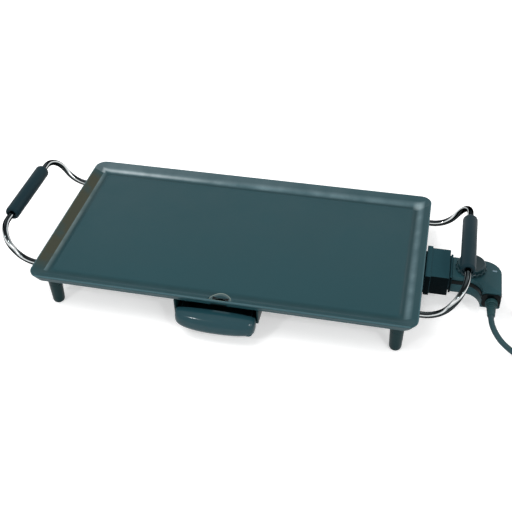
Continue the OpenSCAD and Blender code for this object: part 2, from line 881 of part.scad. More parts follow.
module connector_block() {
    color("#14282b")
        difference() {
            union() {
                block([nose_back_x, -nose_hw, nose_bottom], [collar_x + eps, nose_hw, nose_top]);
                block([collar_x, -control_hw - 2.5, control_bottom],
                      [collar_x + collar_t, control_hw + 2.5, control_top + 1]);
            }
            for (y = [-1, 1])
                translate([nose_back_x - 1, y * pin_pitch / 2, element_z])
                    rotate([0, 90, 0])
                        cylinder(h = sleeve_l + 1, r = pin_d / 2 + running + sleeve_t + snug);
            translate([nose_back_x - 1, 0, element_z])
                rotate([0, 90, 0]) cylinder(h = big, r = probe_d / 2 + snug);
            translate([nose_back_x - 1, -3.5, cavity_bottom + 1.5])
                cube([sleeve_l + 3, 7, 2]);
        }
}

module contact_sleeves() {
    color("#c8a24c")
        for (y = [-1, 1])
            translate([nose_back_x, y * pin_pitch / 2, element_z])
                rotate([0, 90, 0])
                    difference() {
                        cylinder(h = sleeve_l, r = pin_d / 2 + running + sleeve_t);
                        translate([0, 0, -1]) cylinder(h = sleeve_l + 2, r = pin_d / 2 + running);
                    }
}

module temperature_probe() {
    l = shell_x + shell_t + 3 - probe_tip_x;
    color("#c4c6c8")
        translate([probe_tip_x, 0, element_z])
            rotate([0, 90, 0]) {
                cylinder(h = 2, d1 = probe_d - 2, d2 = probe_d);
                translate([0, 0, 2]) cylinder(h = l - 2, d = probe_d);
            }
}

module control_lower_shell() {
    h = split_z - control_bottom;
    color("#274245")
        difference() {
            translate([0, 0, control_bottom]) linear_extrude(h) control_plan(0);
            translate([0, 0, control_bottom + shell_t]) control_hollow(shell_t, big);
            translate([relief_x, arm_end_y + relief_inside + 1, relief_z])
                rotate([90, 0, 0]) cylinder(h = relief_inside + 2, r = relief_neck_r + running);
            for (p = shell_screw_spots)
                translate([p.x, p.y, control_bottom - 1]) cylinder(h = 5, r = shell_screw_d / 2 + snug);
        }
}

module control_upper_shell() {
    h = control_top - split_z;
    color("#334e55")
        difference() {
            union() {
                difference() {
                    translate([0, 0, split_z]) linear_extrude(h) control_plan(shell_step);
                    translate([0, 0, split_z - 1]) control_hollow(shell_step + shell_t, h + 1 - shell_t);
                }
                for (p = shell_screw_spots)
                    translate([p.x, p.y, block_z + 0.2])
                        cylinder(h = control_top - block_z - 1, d = 6);
            }
            translate([dial_x, 0, split_z]) cylinder(h = big, r = shaft_d / 2 + running);
            translate([lens_x, 0.5, control_top])
                cube([lens_l + 2 * snug, lens_w + 2 * snug, 3 * shell_t], center = true);
            translate([shell_x - 1, 0, element_z])
                rotate([0, 90, 0]) cylinder(h = 5, r = probe_d / 2 + snug);
            translate([relief_x, arm_end_y + relief_inside + 1, relief_z])
                rotate([90, 0, 0]) cylinder(h = relief_inside + 2, r = relief_neck_r + running);
            for (p = shell_screw_spots)
                translate([p.x, p.y, block_z]) cylinder(h = shell_screw_l + 1, r = shell_screw_d / 2 + snug);
        }
}

module shell_screws() {
    color("#b9babb")
        for (p = shell_screw_spots)
            translate([p.x, p.y, control_bottom])
                screw(shell_screw_d, shell_screw_l, head_d = 4.6, head_h = 1.4);
}

module switch_block() {
    color("#d9d2c0")
        difference() {
            block([dial_x - block_l / 2, -block_w / 2, block_z],
                  [dial_x + block_l / 2, block_w / 2, block_z + block_h]);
            translate([dial_x, 0, block_z + 2]) cylinder(h = big, r = shaft_d / 2 + running);
        }
}

// Bimetal blade that the probe works and the dial's shaft sets
module bimetal_blade() {
    z = block_z + block_h;
    color("#b08d4a")
        difference() {
            block([shell_x + shell_t + 1.2, -5, z], [dial_x + block_l / 2 - 2, 5, z + 0.8]);
            translate([dial_x, 0, z - 1]) cylinder(h = 3, r = shaft_d / 2 + 1);
        }
}

module dial_shaft() {
    bottom = block_z + 2 + slide_gap;
    color("#b9babb")
        translate([dial_x, 0, bottom]) cylinder(h = dial_z + dial_h - 4 - bottom, d = shaft_d);
}

module dial_knob() {
    ring_h = dial_h * 0.42;
    neck_d = dial_top_d - 3;
    color("#22393d")
        translate([dial_x, 0, dial_z])
            difference() {
                union() {
                    cylinder(h = ring_h, d = dial_d);
                    cylinder(h = dial_h - 2.6, d = neck_d);
                    translate([0, 0, dial_h - 4.6]) cylinder(h = 2, d = dial_top_d);
                }
                for (k = [0:scallops - 1])
                    rotate(360 * k / scallops)
                        translate([dial_d / 2 + 0.8, 0, -1]) cylinder(h = ring_h + 0.4, d = 3.6);
                translate([0, 0, -1]) cylinder(h = dial_h - 3, r = shaft_d / 2 + snug);
            }
}

module dial_cap() {
    color("#2f4a50")
        translate([dial_x, 0, dial_z + dial_h - 2.6])
            rotate_extrude()
                polygon([[0, 0], [dial_top_d / 2, 0], [dial_top_d / 2, 1.6],
                         [dial_top_d / 2 - 1, 2.6], [0, 2.6]]);
}

module pilot_lens() {
    color("#7f9aa8")
        block([lens_x - lens_l / 2, 0.5 - lens_w / 2, control_top - lamp_drop + lamp_d / 2],
              [lens_x + lens_l / 2, 0.5 + lens_w / 2, control_top + 0.5]);
}

module pilot_lamp() {
    color("#e6b48a")
        translate([lens_x, 0.5, control_top - lamp_drop])
            rotate([90, 0, 0]) cylinder(h = 11, d = lamp_d, center = true);
}

// Bar that grips the cord's end inside the arm, between the arm's walls
module cord_clamp() {
    z = control_bottom + shell_t;
    inset = 12;
    bar_w = 7;
    bar_h = 5;
    color("#14282b")
        block([arm_x + shell_t + 0.4, arm_end_y + inset, z],
              [elbow_x - inset, arm_end_y + inset + bar_w, z + bar_h]);
}

module strain_relief() {
    r0 = cord_r + 4;
    r1 = cord_r + 2.2;
    r2 = cord_r + 2.8;
    ribs = 4;
    ribs_z = relief_flange + 1;
    rib = (relief_l - ribs_z) / ribs;
    profile = concat(
        [[0, -relief_inside], [relief_neck_r, -relief_inside], [relief_neck_r, 0], [r0, 0],
         [r0, relief_flange], [r1 - 0.4, ribs_z]],
        [for (k = [0:ribs - 1], s = [0, 1])
            let (r = k == ribs - 1 ? r2 : r1)
            [r - s * 0.9, ribs_z + rib * (k + s * 0.62)]],
        [[cord_r + 1.2, relief_l], [0, relief_l]]
    );
    color("#2b4347")
        translate([relief_x, arm_end_y, relief_z])
            rotate([90, 0, 0]) rotate_extrude() polygon(profile);
}

module supply_cord() {
    color("#24373b") swept(cord_route, cord_r);
}

module cord_coil() {
    e = cord_r;
    color("#24373b")
        translate([coil_x, coil_y, tie_t])
            rotate_extrude($fn = 72)
                translate([coil_d / 2, coil_high * cord_r])
                    rounded(coil_wide * cord_d, coil_high * cord_d, e - eps);
}

module cord_tie() {
    color("#101b1d")
        translate([coil_x, coil_y, 0])
            rotate(tie_angle)
                difference() {
                    block([coil_in - 2 * tie_t, -tie_w / 2, 0],
                          [coil_out + tie_t, tie_w / 2, coil_top + tie_t]);
                    translate([0, 0, tie_t])
                        rotate_extrude($fn = 72)
                            translate([coil_d / 2, coil_high * cord_r])
                                rounded(coil_wide * cord_d, coil_high * cord_d, cord_r - eps);
                }
}

module cord_tail() {
    color("#24373b") swept(tail_route, cord_r);
}

module plug_body() {
    neck = cord_r + 2;
    r = plug_d / 2;
    back = -neck_l;
    profile = concat(
        [[0, back], [cord_r + 1, back], [neck, 0]],
        arc([neck + 4, 4], 4, 180, 90, 5),
        arc([r - 5, 13], 5, -90, 0, 5),
        [[r, plug_l - 1], [r - 1, plug_l], [0, plug_l]]
    );
    color("#1b2b2e")
        translate([plug_x, plug_back_y, plug_d / 2])
            rotate([-90, 0, 0]) rotate_extrude() polygon(profile);
}

module plug_pins() {
    color("#c9c6bd")
        for (s = [-1, 1])
            translate([plug_x + s * plug_pin_pitch / 2, plug_face_y, plug_d / 2])
                rotate([-90, 0, 0]) {
                    cylinder(h = plug_pin_l - 1.5, d = plug_pin_d);
                    translate([0, 0, plug_pin_l - 1.5])
                        cylinder(h = 1.5, d1 = plug_pin_d, d2 = plug_pin_d - 2);
                }
}

griddle_plate();
heating_element();
terminal_pins();
element_straps();
strap_screws();
socket_bracket();
socket_housing();
socket_screws();
earth_blade();
foot_front_left();
foot_front_right();
foot_back_left();
foot_back_right();
foot_screws();
left_handle_rod();
right_handle_rod();
left_grip();
right_grip();
handle_clamps();
clamp_screws();
left_tray_rail();
right_tray_rail();
rail_screws();
drip_tray();
connector_block();
contact_sleeves();
temperature_probe();
control_lower_shell();
control_upper_shell();
shell_screws();
switch_block();
bimetal_blade();
dial_shaft();
dial_knob();
dial_cap();
pilot_lens();
pilot_lamp();
cord_clamp();
strain_relief();
supply_cord();
cord_coil();
cord_tie();
cord_tail();
plug_body();
plug_pins();
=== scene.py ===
"""Electric griddle: looks for the plate, feet, handles, grease tray, socket, control and cord.

Everything is in metres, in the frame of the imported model: +X runs along the plate towards the
control, -Y is the front with the grease tray, and z = 0 is the table.
"""
import json
import logging
from collections.abc import Callable, Iterator, Sequence
from contextlib import contextmanager
from dataclasses import dataclass
from enum import Enum
from math import acos, atan2, cos, hypot, pi, radians, sin, tan

import bmesh
import bpy
from mathutils import Matrix, Vector


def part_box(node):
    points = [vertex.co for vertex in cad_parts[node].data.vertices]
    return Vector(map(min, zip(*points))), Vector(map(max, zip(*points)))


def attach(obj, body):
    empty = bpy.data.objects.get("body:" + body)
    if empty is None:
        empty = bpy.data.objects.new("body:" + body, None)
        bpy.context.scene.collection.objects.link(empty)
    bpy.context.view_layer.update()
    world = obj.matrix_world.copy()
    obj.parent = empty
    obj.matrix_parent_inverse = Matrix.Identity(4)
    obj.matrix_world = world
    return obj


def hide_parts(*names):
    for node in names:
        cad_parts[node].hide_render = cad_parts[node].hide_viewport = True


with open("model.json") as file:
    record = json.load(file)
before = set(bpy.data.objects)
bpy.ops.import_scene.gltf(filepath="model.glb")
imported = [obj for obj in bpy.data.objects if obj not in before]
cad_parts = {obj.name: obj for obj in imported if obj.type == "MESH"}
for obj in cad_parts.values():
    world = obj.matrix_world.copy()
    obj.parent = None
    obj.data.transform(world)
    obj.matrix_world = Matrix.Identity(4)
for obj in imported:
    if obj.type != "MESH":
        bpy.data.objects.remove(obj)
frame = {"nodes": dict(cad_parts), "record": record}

log = logging.getLogger("griddle")
MM = 0.001
UP = Vector((0, 0, 1))
RIGHT = Vector((1, 0, 0))
AWAY = Vector((0, 1, 0))
WHITE = (1.0, 1.0, 1.0, 1.0)
# Cosines from which a face counts as looking along a direction, and an edge as running along it.
ALIGNED, ALONG = 0.95, 0.98
# How finely a rod is bent.
FEWEST_STEPS, DEGREES_A_STEP = 6, 6
Piece = bpy.types.Object
Point = Sequence[float]
Pair = tuple[float, float]
Triple = tuple[float, float, float]


class Grab(Enum):
    """What an edit-mode selection is made of."""

    VERTS = "VERT"
    EDGES = "EDGE"
    FACES = "FACE"


# ---------------------------------------------------------------- workbench


def solo(piece: Piece) -> None:
    """Makes the piece the only selected object and the active one.

    Args:
        piece: the piece that is wanted.
    """
    bpy.ops.object.select_all(action="DESELECT")
    piece.select_set(True)
    bpy.context.view_layer.objects.active = piece


def settle(piece: Piece, name: str) -> Piece:
    """Names a new primitive and puts its place, turn and scale into its mesh.

    Args:
        piece: the primitive that was just added.
        name: the name of the finished piece.

    Returns:
        The same object, at the origin.
    """
    solo(piece)
    bpy.ops.object.transform_apply(location=True, rotation=True, scale=True)
    piece.name = piece.data.name = name
    return piece


@contextmanager
def editing(piece: Piece) -> Iterator[None]:
    """Edit mode on one piece, with nothing selected at the start.

    Args:
        piece: the piece that is edited.

    Returns:
        Nothing, while the mode lasts.
    """
    solo(piece)
    bpy.ops.object.mode_set(mode="EDIT")
    bpy.ops.mesh.select_all(action="DESELECT")
    try:
        yield
    finally:
        bpy.ops.object.mode_set(mode="OBJECT")


def grab(kind: Grab, test: Callable[..., bool]) -> int:
    """Selects what passes the test in the mesh that is being edited, and only that.

    Args:
        kind: vertices, edges or faces.
        test: takes one of them and says whether it is wanted.

    Returns:
        How many were selected.
    """
    bpy.ops.mesh.select_mode(type=kind.value)
    bpy.ops.mesh.select_all(action="DESELECT")
    mesh = bpy.context.object.data
    shape = bmesh.from_edit_mesh(mesh)
    items = {Grab.VERTS: shape.verts, Grab.EDGES: shape.edges, Grab.FACES: shape.faces}[kind]
    found = [item for item in items if test(item)]
    for item in found:
        item.select_set(True)
    bmesh.update_edit_mesh(mesh)
    if not found:
        log.warning("nothing selected on %s", bpy.context.object.name)
    return len(found)


def facing(direction: Point, at: float | None = None, slack: float = 2e-4) -> Callable[..., bool]:
    """Test for faces that look along a direction.

    Args:
        direction: the unit direction that the faces look along.
        at: how far along it they lie, where that matters.
        slack: how far they may be off that distance.

    Returns:
        The test for grab().
    """
    way = Vector(direction)

    def test(face: bmesh.types.BMFace) -> bool:
        """Whether a face looks that way and lies there."""
        along = face.calc_center_median().dot(way)
        return face.normal.dot(way) > ALIGNED and (at is None or abs(along - at) < slack)

    return test


def flat_to(direction: Point) -> Callable[..., bool]:
    """Test for faces that look along a direction or against it."""
    way = Vector(direction)
    return lambda face: abs(face.normal.dot(way)) > ALIGNED


def edge_along(direction: Point) -> Callable[..., bool]:
    """Test for edges that run along a direction."""
    way = Vector(direction)
    return lambda e: abs((e.verts[1].co - e.verts[0].co).normalized().dot(way)) > ALONG


def grab_all() -> None:
    """Selects everything in the mesh that is being edited."""
    bpy.ops.mesh.select_all(action="SELECT")


def face_outwards() -> None:
    """Turns all faces of the mesh that is being edited outwards."""
    grab_all()
    bpy.ops.mesh.normals_make_consistent(inside=False)


def slice_at(spot: Point, way: Point, keep_below: bool = False) -> None:
    """Cuts a loop through the whole mesh, where a plane meets it.

    Args:
        spot: a point of the plane.
        way: the direction that the plane looks along.
        keep_below: whether what lies beyond the plane goes, and the cut is closed.
    """
    grab_all()
    bpy.ops.mesh.bisect(plane_co=spot, plane_no=way, use_fill=keep_below, clear_outer=keep_below)


def push(x: float = 0, y: float = 0, z: float = 0) -> None:
    """Moves the selection."""
    bpy.ops.transform.translate(value=(x, y, z))


def pull(x: float = 0, y: float = 0, z: float = 0) -> None:
    """Extrudes the selection."""
    bpy.ops.mesh.extrude_region_move(TRANSFORM_OT_translate={"value": (x, y, z)})


def shrink(x: float, y: float, z: float, about: Point) -> None:
    """Scales the selection about a point."""
    bpy.ops.transform.resize(value=(x, y, z), center_override=tuple(about))


def inset(width: float) -> None:
    """Insets the selected faces."""
    bpy.ops.mesh.inset(thickness=width)


def bevel(width: float, steps: int = 3, corners: bool = False) -> None:
    """Bevels the selected edges, or the selected corners of an outline."""
    bpy.ops.mesh.bevel(offset=width, segments=steps, affect="VERTICES" if corners else "EDGES",
                       clamp_overlap=True)


def ring_out(width: float) -> None:
    """Opens a hole through the piece between two opposite faces that are selected."""
    inset(width)
    bpy.ops.mesh.bridge_edge_loops()


def middle(low: Point, high: Point) -> Vector:
    """Point halfway between two corners."""
    return (Vector(low) + Vector(high)) / 2


def block(name: str, low: Point, high: Point) -> Piece:
    """Box between its lowest and its highest corner.

    Args:
        name: the piece's name.
        low: its lowest corner.
        high: its highest corner.

    Returns:
        The new piece.
    """
    bpy.ops.mesh.primitive_cube_add(size=1, location=middle(low, high),
                                    scale=Vector(high) - Vector(low))
    return settle(bpy.context.object, name)


def turned(name: str, start: Point, way: Point, profile: Sequence[Pair], sides: int) -> Piece:
    """Round piece: a disc that is extruded and scaled from step to step along its axis.

    Args:
        name: the piece's name.
        start: a point on the axis from which the steps are measured.
        way: the unit direction of the axis.
        profile: the steps, each as (distance along the axis, radius).
        sides: how many sides the round has.

    Returns:
        The new piece, closed at both ends.
    """
    start, way = Vector(start), Vector(way)
    (first, radius), rest = profile[0], profile[1:]
    bpy.ops.mesh.primitive_circle_add(vertices=sides, radius=radius, fill_type="NGON",
                                      location=start + way * first,
                                      rotation=UP.rotation_difference(way).to_euler())
    piece = settle(bpy.context.object, name)
    with editing(piece):
        grab_all()
        for along, wide in rest:
            pull(*(way * (along - first)))
            ratio = wide / radius
            across = [1 + (ratio - 1) * (1 - abs(c)) for c in way]
            shrink(*across, about=start + way * along)
            first, radius = along, wide
        face_outwards()
    return piece


def bent_rod(name: str, stops: Sequence[Point], bends: Sequence[float], radius: float,
             sides: int) -> Piece:
    """Round rod that is drawn straight from stop to stop and bent at each inner one.

    Args:
        name: the piece's name.
        stops: the corners of the rod's path.
        bends: the bend radius at each inner corner.
        radius: the rod's own radius.
        sides: how many sides the rod has.

    Returns:
        The new piece, closed at both ends.
    """
    spots = [Vector(s) for s in stops]
    ways = [(b - a).normalized() for a, b in zip(spots, spots[1:])]
    bpy.ops.mesh.primitive_circle_add(vertices=sides, radius=radius, fill_type="NOTHING",
                                      location=spots[0],
                                      rotation=UP.rotation_difference(ways[0]).to_euler())
    piece = settle(bpy.context.object, name)
    with editing(piece):
        bpy.ops.mesh.select_mode(type="EDGE")
        grab_all()
        here = spots[0]
        for spot, before, after, bend in zip(spots[1:], ways, ways[1:], bends):
            turn = acos(max(-1.0, min(1.0, before.dot(after))))
            cut = bend * tan(turn / 2)
            pull(*(spot - before * cut - here))
            centre = spot + (after - before).normalized() * bend / cos(turn / 2)
            steps = max(FEWEST_STEPS, int(turn / radians(DEGREES_A_STEP)))
            bpy.ops.mesh.spin(steps=steps, angle=turn, center=centre,
                              axis=after.cross(before).normalized())
            here = spot + after * cut
        pull(*(spots[-1] - here))
        for end in (spots[0], spots[-1]):
            grab(Grab.EDGES, lambda e, end=end: all(
                (v.co - end).length < radius * 1.01 for v in e.verts))
            bpy.ops.mesh.edge_face_add()
        face_outwards()
    return piece


def finish_with(piece: Piece, kind: str, **settings: object) -> None:
    """Adds a modifier and applies it.

    Args:
        piece: the piece that it works on.
        kind: the modifier's type.
        settings: the modifier's settings.
    """
    solo(piece)
    step = piece.modifiers.new(kind.lower(), kind)
    for key, value in settings.items():
        setattr(step, key, value)
    bpy.ops.object.modifier_apply(modifier=step.name)


def soften(piece: Piece, width: float, steps: int = 3, angle: float = 28) -> None:
    """Rounds the sharp edges of a finished form and shades it smooth.

    Args:
        piece: the piece that it works on.
        width: the width of the rounding.
        steps: how many faces it has.
        angle: the angle, in degrees, from which an edge is sharp.
    """
    finish_with(piece, "BEVEL", width=width, segments=steps, limit_method="ANGLE",
                angle_limit=radians(angle), harden_normals=False)
    smooth(piece)


def smooth(piece: Piece, angle: float = 35) -> None:
    """Shades smooth, with creases where faces meet at more than the angle."""
    solo(piece)
    bpy.ops.object.shade_smooth_by_angle(angle=radians(angle))


def copy_of(piece: Piece, name: str, shift: Point = (0, 0, 0), mirror_x: bool = False) -> Piece:
    """Copy with its own mesh, moved or mirrored across x = 0.

    Args:
        piece: the piece to copy.
        name: the copy's name.
        shift: how far the copy is moved.
        mirror_x: whether it is mirrored first.

    Returns:
        The copy.
    """
    twin = piece.copy()
    twin.data = piece.data.copy()
    bpy.context.scene.collection.objects.link(twin)
    twin.scale.x = -1 if mirror_x else 1
    twin.location = shift
    settle(twin, name)
    if mirror_x:
        with editing(twin):
            grab_all()
            bpy.ops.mesh.remove_doubles(threshold=1e-6)
            face_outwards()
    return twin


def joined(name: str, pieces: Sequence[Piece]) -> Piece:
    """One piece out of several.

    Args:
        name: the name of the whole.
        pieces: the pieces that go into it.

    Returns:
        The whole.
    """
    bpy.ops.object.select_all(action="DESELECT")
    for piece in pieces:
        piece.select_set(True)
    bpy.context.view_layer.objects.active = pieces[0]
    bpy.ops.object.join()
    pieces[0].name = pieces[0].data.name = name
    return pieces[0]


def cut_out(piece: Piece, tool: Piece) -> None:
    """Cuts a tool's shape out of a piece and throws the tool away."""
    finish_with(piece, "BOOLEAN", operation="DIFFERENCE", solver="EXACT", object=tool)
    bpy.data.objects.remove(tool)


# ---------------------------------------------------------------- finishes


def tint(code: str) -> tuple[float, float, float, float]:
    """Linear colour of a screen colour such as #2f4d54."""
    parts = [int(code[i:i + 2], 16) / 255 for i in (1, 3, 5)]
    return (*[p / 12.92 if p <= 0.04045 else ((p + 0.055) / 1.055) ** 2.4 for p in parts], 1.0)


class Wiring:
    """Nodes and links of one material or node group."""

    def __init__(self, tree: bpy.types.NodeTree) -> None:
        """Starts on an emptied tree."""
        self.tree = tree
        tree.nodes.clear()

    def add(self, kind: str, feeds: dict[str | int, object] | None = None,
            **settings: object) -> bpy.types.Node:
        """Adds a node.

        Args:
            kind: the node's type, without its ShaderNode prefix.
            feeds: values or output sockets for its inputs, by name or number.
            settings: its own settings.

        Returns:
            The node.
        """
        prefix = "" if kind.startswith("NodeGroup") else "ShaderNode"
        node = self.tree.nodes.new(prefix + kind)
        for key, value in settings.items():
            setattr(node, key, value)
        for key, value in (feeds or {}).items():
            if isinstance(value, bpy.types.NodeSocket):
                self.tree.links.new(value, node.inputs[key])
            else:
                node.inputs[key].default_value = value
        return node

    def math(self, operation: str, a: object, b: object = 0.0, clamp: bool = False) -> object:
        """Result of a sum on two numbers or sockets."""
        return self.add("Math", {0: a, 1: b}, operation=operation, use_clamp=clamp).outputs[0]

    def mix(self, factor: object, a: object, b: object) -> object:
        """Mix of two colours."""
        return self.add("Mix", {0: factor, 6: a, 7: b}, data_type="RGBA").outputs[2]

    def noise(self, vector: object, scale: object, detail: float = 3.0) -> object:
        """Noise value at a scale."""
        feeds = {"Vector": vector, "Scale": scale, "Detail": detail}
        return self.add("TexNoise", feeds).outputs[0]

    def patches(self, vector: object, scale: float, level: float) -> object:
        """Noise that is raised by a level, to break up a mask."""
        return self.math("ADD", self.noise(vector, scale), level)

    def group(self, tree: bpy.types.NodeTree, **feeds: object) -> object:
        """Output of a shared node group that is placed with the given inputs."""
        return self.add("Group", feeds, node_tree=tree).outputs[0]

    def normal(self) -> object:
        """Direction that the surface faces."""
        return self.add("NewGeometry").outputs["Normal"]

    def dot(self, a: object, b: object) -> object:
        """How far two directions agree."""
        return self.add("VectorMath", {0: a, 1: b}, operation="DOT_PRODUCT").outputs["Value"]

    def seen(self) -> object:
        """Mask of the rays that look at a thing, straight or by way of metal and glass.

        Returns:
            The mask.
        """
        path = self.add("LightPath").outputs
        through = self.math("MAXIMUM", path["Is Glossy Ray"], path["Is Transmission Ray"])
        return self.math("MAXIMUM", path["Is Camera Ray"], through)

    def parts(self, vector: object) -> bpy.types.NodeOutputs:
        """X, Y and Z of a vector."""
        return self.add("SeparateXYZ", {0: vector}).outputs

    def near(self, value: object, centre: float, half: float, soft: float) -> object:
        """Mask that is 1 within a half width of a value and fades out beyond it.

        Args:
            value: the socket that is tested.
            centre: the value in the middle of the band.
            half: the half width of the full part.
            soft: how far it takes to fade.

        Returns:
            The mask.
        """
        off = self.math("ABSOLUTE", self.math("SUBTRACT", value, centre))
        faded = self.math("DIVIDE", self.math("SUBTRACT", off, half), soft, clamp=True)
        return self.math("SUBTRACT", 1.0, faded, clamp=True)

    def both(self, *masks: object) -> object:
        """Product of masks and strengths.

        Args:
            masks: sockets or numbers.

        Returns:
            Their product.
        """
        product = masks[0]
        for mask in masks[1:]:
            product = self.math("MULTIPLY", product, mask)
        return product

    def ramp(self, value: object, stops: Sequence[tuple[float, str]]) -> object:
        """Colour ramp with the given stops, each as (place, screen colour).

        Args:
            value: the socket that is looked up.
            stops: the stops, from low to high.

        Returns:
            The colour.
        """
        node = self.add("ValToRGB", {0: value})
        ramp = node.color_ramp
        while len(ramp.elements) < len(stops):
            ramp.elements.new(0.5)
        for element, (place, code) in zip(ramp.elements, stops):
            element.position, element.color = place, tint(code)
        return node.outputs[0]


class Effects:
    """Node groups that the finishes share: worn edges, moulded grain and handling marks."""

    edge_samples: int = 4
    edge_gain: float = 9.0
    patch_scale: float = 160.0
    patch_level: float = 0.25
    fine_share: float = 0.7
    broad_scale: float = 0.21
    drift_span: Pair = (0.3, 0.7)

    def __init__(self) -> None:
        """Builds the three groups."""
        self.worn = self._worn()
        self.grain = self._grain()
        self.marks = self._marks()

    @staticmethod
    def _group(name: str, out: str, **values: float) -> tuple[Wiring, bpy.types.NodeOutputs]:
        """Starts a group.

        Args:
            name: the group's name.
            out: the name of its one output.
            values: its inputs beside the vector, with their plain values.

        Returns:
            The group's wiring, and its inputs.
        """
        tree = bpy.data.node_groups.new(name, "ShaderNodeTree")
        tree.interface.new_socket("Vector", in_out="INPUT", socket_type="NodeSocketVector")
        for label, value in values.items():
            socket = tree.interface.new_socket(label, in_out="INPUT",
                                               socket_type="NodeSocketFloat")
            socket.default_value = value
        tree.interface.new_socket(out, in_out="OUTPUT", socket_type="NodeSocketFloat")
        wires = Wiring(tree)
        return wires, wires.add("NodeGroupInput").outputs

    @staticmethod
    def _close(wires: Wiring, value: object) -> bpy.types.NodeTree:
        """Sends the value out of the group."""
        wires.add("NodeGroupOutput", {0: value})
        return wires.tree

    def _worn(self) -> bpy.types.NodeTree:
        """Mask of rounded edges, broken up by noise.

        Returns:
            The group.
        """
        wires, given = self._group("worn_edges", "Mask", Radius=0.0008, Amount=1.0)
        rounded = wires.add("Bevel", {"Radius": given["Radius"]},
                            samples=self.edge_samples).outputs[0]
        bent = wires.math("SUBTRACT", 1.0, wires.dot(rounded, wires.normal()))
        edge = wires.math("MULTIPLY", bent, self.edge_gain, clamp=True)
        patchy = wires.patches(given["Vector"], self.patch_scale, self.patch_level)
        return self._close(wires, wires.math("MULTIPLY", wires.both(edge, patchy),
                                             given["Amount"], clamp=True))

    def _grain(self) -> bpy.types.NodeTree:
        """Height of a fine moulded or sprayed texture.

        Returns:
            The group.
        """
        wires, given = self._group("fine_grain", "Height", Scale=900.0)
        scale = wires.math("MULTIPLY", given["Scale"], self.broad_scale)
        fine = wires.both(wires.noise(given["Vector"], given["Scale"], 2.0), self.fine_share)
        broad = wires.both(wires.noise(given["Vector"], scale, 2.0), 1 - self.fine_share)
        return self._close(wires, wires.math("ADD", fine, broad))

    def _marks(self) -> bpy.types.NodeTree:
        """Value between two limits that drifts over the surface, as handling leaves it.

        Returns:
            The group.
        """
        wires, given = self._group("handling_marks", "Value", Scale=25.0, Low=0.3, High=0.5)
        drift = wires.noise(given["Vector"], given["Scale"], 5.0)
        low, high = self.drift_span
        return self._close(wires, wires.add("MapRange", {
            0: drift, 1: low, 2: high, 3: given["Low"], 4: given["High"]}).outputs[0])


@dataclass(frozen=True)
class Finish:
    """Opaque finish: colour, worn edges, drifting roughness and grain.

    The colours are screen codes, lengths are metres and scales are per metre. Sheen is the
    strength of plain reflections, and rim darkens a metal where it turns away.
    """

    name: str
    colour: str
    edge: str
    gloss: Pair = (0.32, 0.45)
    metal: float = 0.0
    grain: float = 900.0
    depth: float = 0.00002
    wear: float = 0.5
    coat: float = 0.0
    drift: float = 0.06
    wave: float = 0.0
    sheen: float = 0.2
    rim: float = 1.0
    grain_strength: float = 0.5
    wave_strength: float = 0.6
    wave_scale: float = 9.0
    coat_gloss: float = 0.08
    drift_scale: float = 14.0

    def build(self, effects: Effects) -> bpy.types.Material:
        """Builds the material.

        Args:
            effects: the shared node groups.

        Returns:
            The material.
        """
        material = bpy.data.materials.new(self.name)
        material.use_nodes = True
        wires = Wiring(material.node_tree)
        place = wires.add("TexCoord").outputs["Object"]
        colour = self.shade(wires, place)
        worn = wires.group(effects.worn, Vector=place, Amount=self.wear) if self.wear else 0.0
        low, high = self.gloss
        rough = wires.group(effects.marks, Vector=place, Low=low, High=high)
        height = wires.group(effects.grain, Vector=place, Scale=self.grain)
        normal = wires.add("Bump", {"Strength": self.grain_strength, "Distance": self.depth,
                                    "Height": height}).outputs[0]
        if self.wave:
            slow = wires.noise(place, self.wave_scale, 1.0)
            normal = wires.add("Bump", {"Strength": self.wave_strength, "Distance": self.wave,
                                        "Height": slow, "Normal": normal}).outputs[0]
        skin = wires.add("BsdfPrincipled", {
            "Base Color": wires.mix(worn, colour, tint(self.edge)), "Roughness": rough,
            "Metallic": self.metal, "Normal": normal, "Coat Weight": self.coat,
            "Coat Roughness": self.coat_gloss, "Specular IOR Level": self.sheen,
            "Specular Tint": (self.rim, self.rim, self.rim, 1.0)})
        wires.add("OutputMaterial", {0: skin.outputs[0]})
        return material

    def shade(self, wires: Wiring, place: object) -> object:
        """Base colour that drifts a little darker and lighter.

        Args:
            wires: the wiring of the material.
            place: the place on the piece.

        Returns:
            The colour.
        """
        base = tint(self.colour)[:3]
        dark, light = ((*(c * (1 + shift) for c in base), 1.0)
                       for shift in (-self.drift, self.drift))
        return wires.mix(wires.noise(place, self.drift_scale, 4.0), dark, light)


class Along(Enum):
    """What the place of a mark on the plate is measured along."""

    X = "x"
    Y = "y"
    Z = "z"
    INSET = "distance inside the rim"
    REACH = "distance from the middle of the drain's scoop"


@dataclass(frozen=True)
class Mark:
    """Mark over the coating: a colour, and where and how strongly it lies.

    A band is (what it is measured along, its middle, its half width, how far it fades), and a
    limit is (what it is measured along, where it is). Each of the patches breaks the mark up
    once, and fading makes it weaker towards the right.
    """

    colour: str
    bands: tuple[tuple[Along, float, float, float], ...]
    strength: float = 1.0
    patches: int = 0
    above: tuple[tuple[Along, float], ...] = ()
    below: tuple[tuple[Along, float], ...] = ()
    fading: bool = False


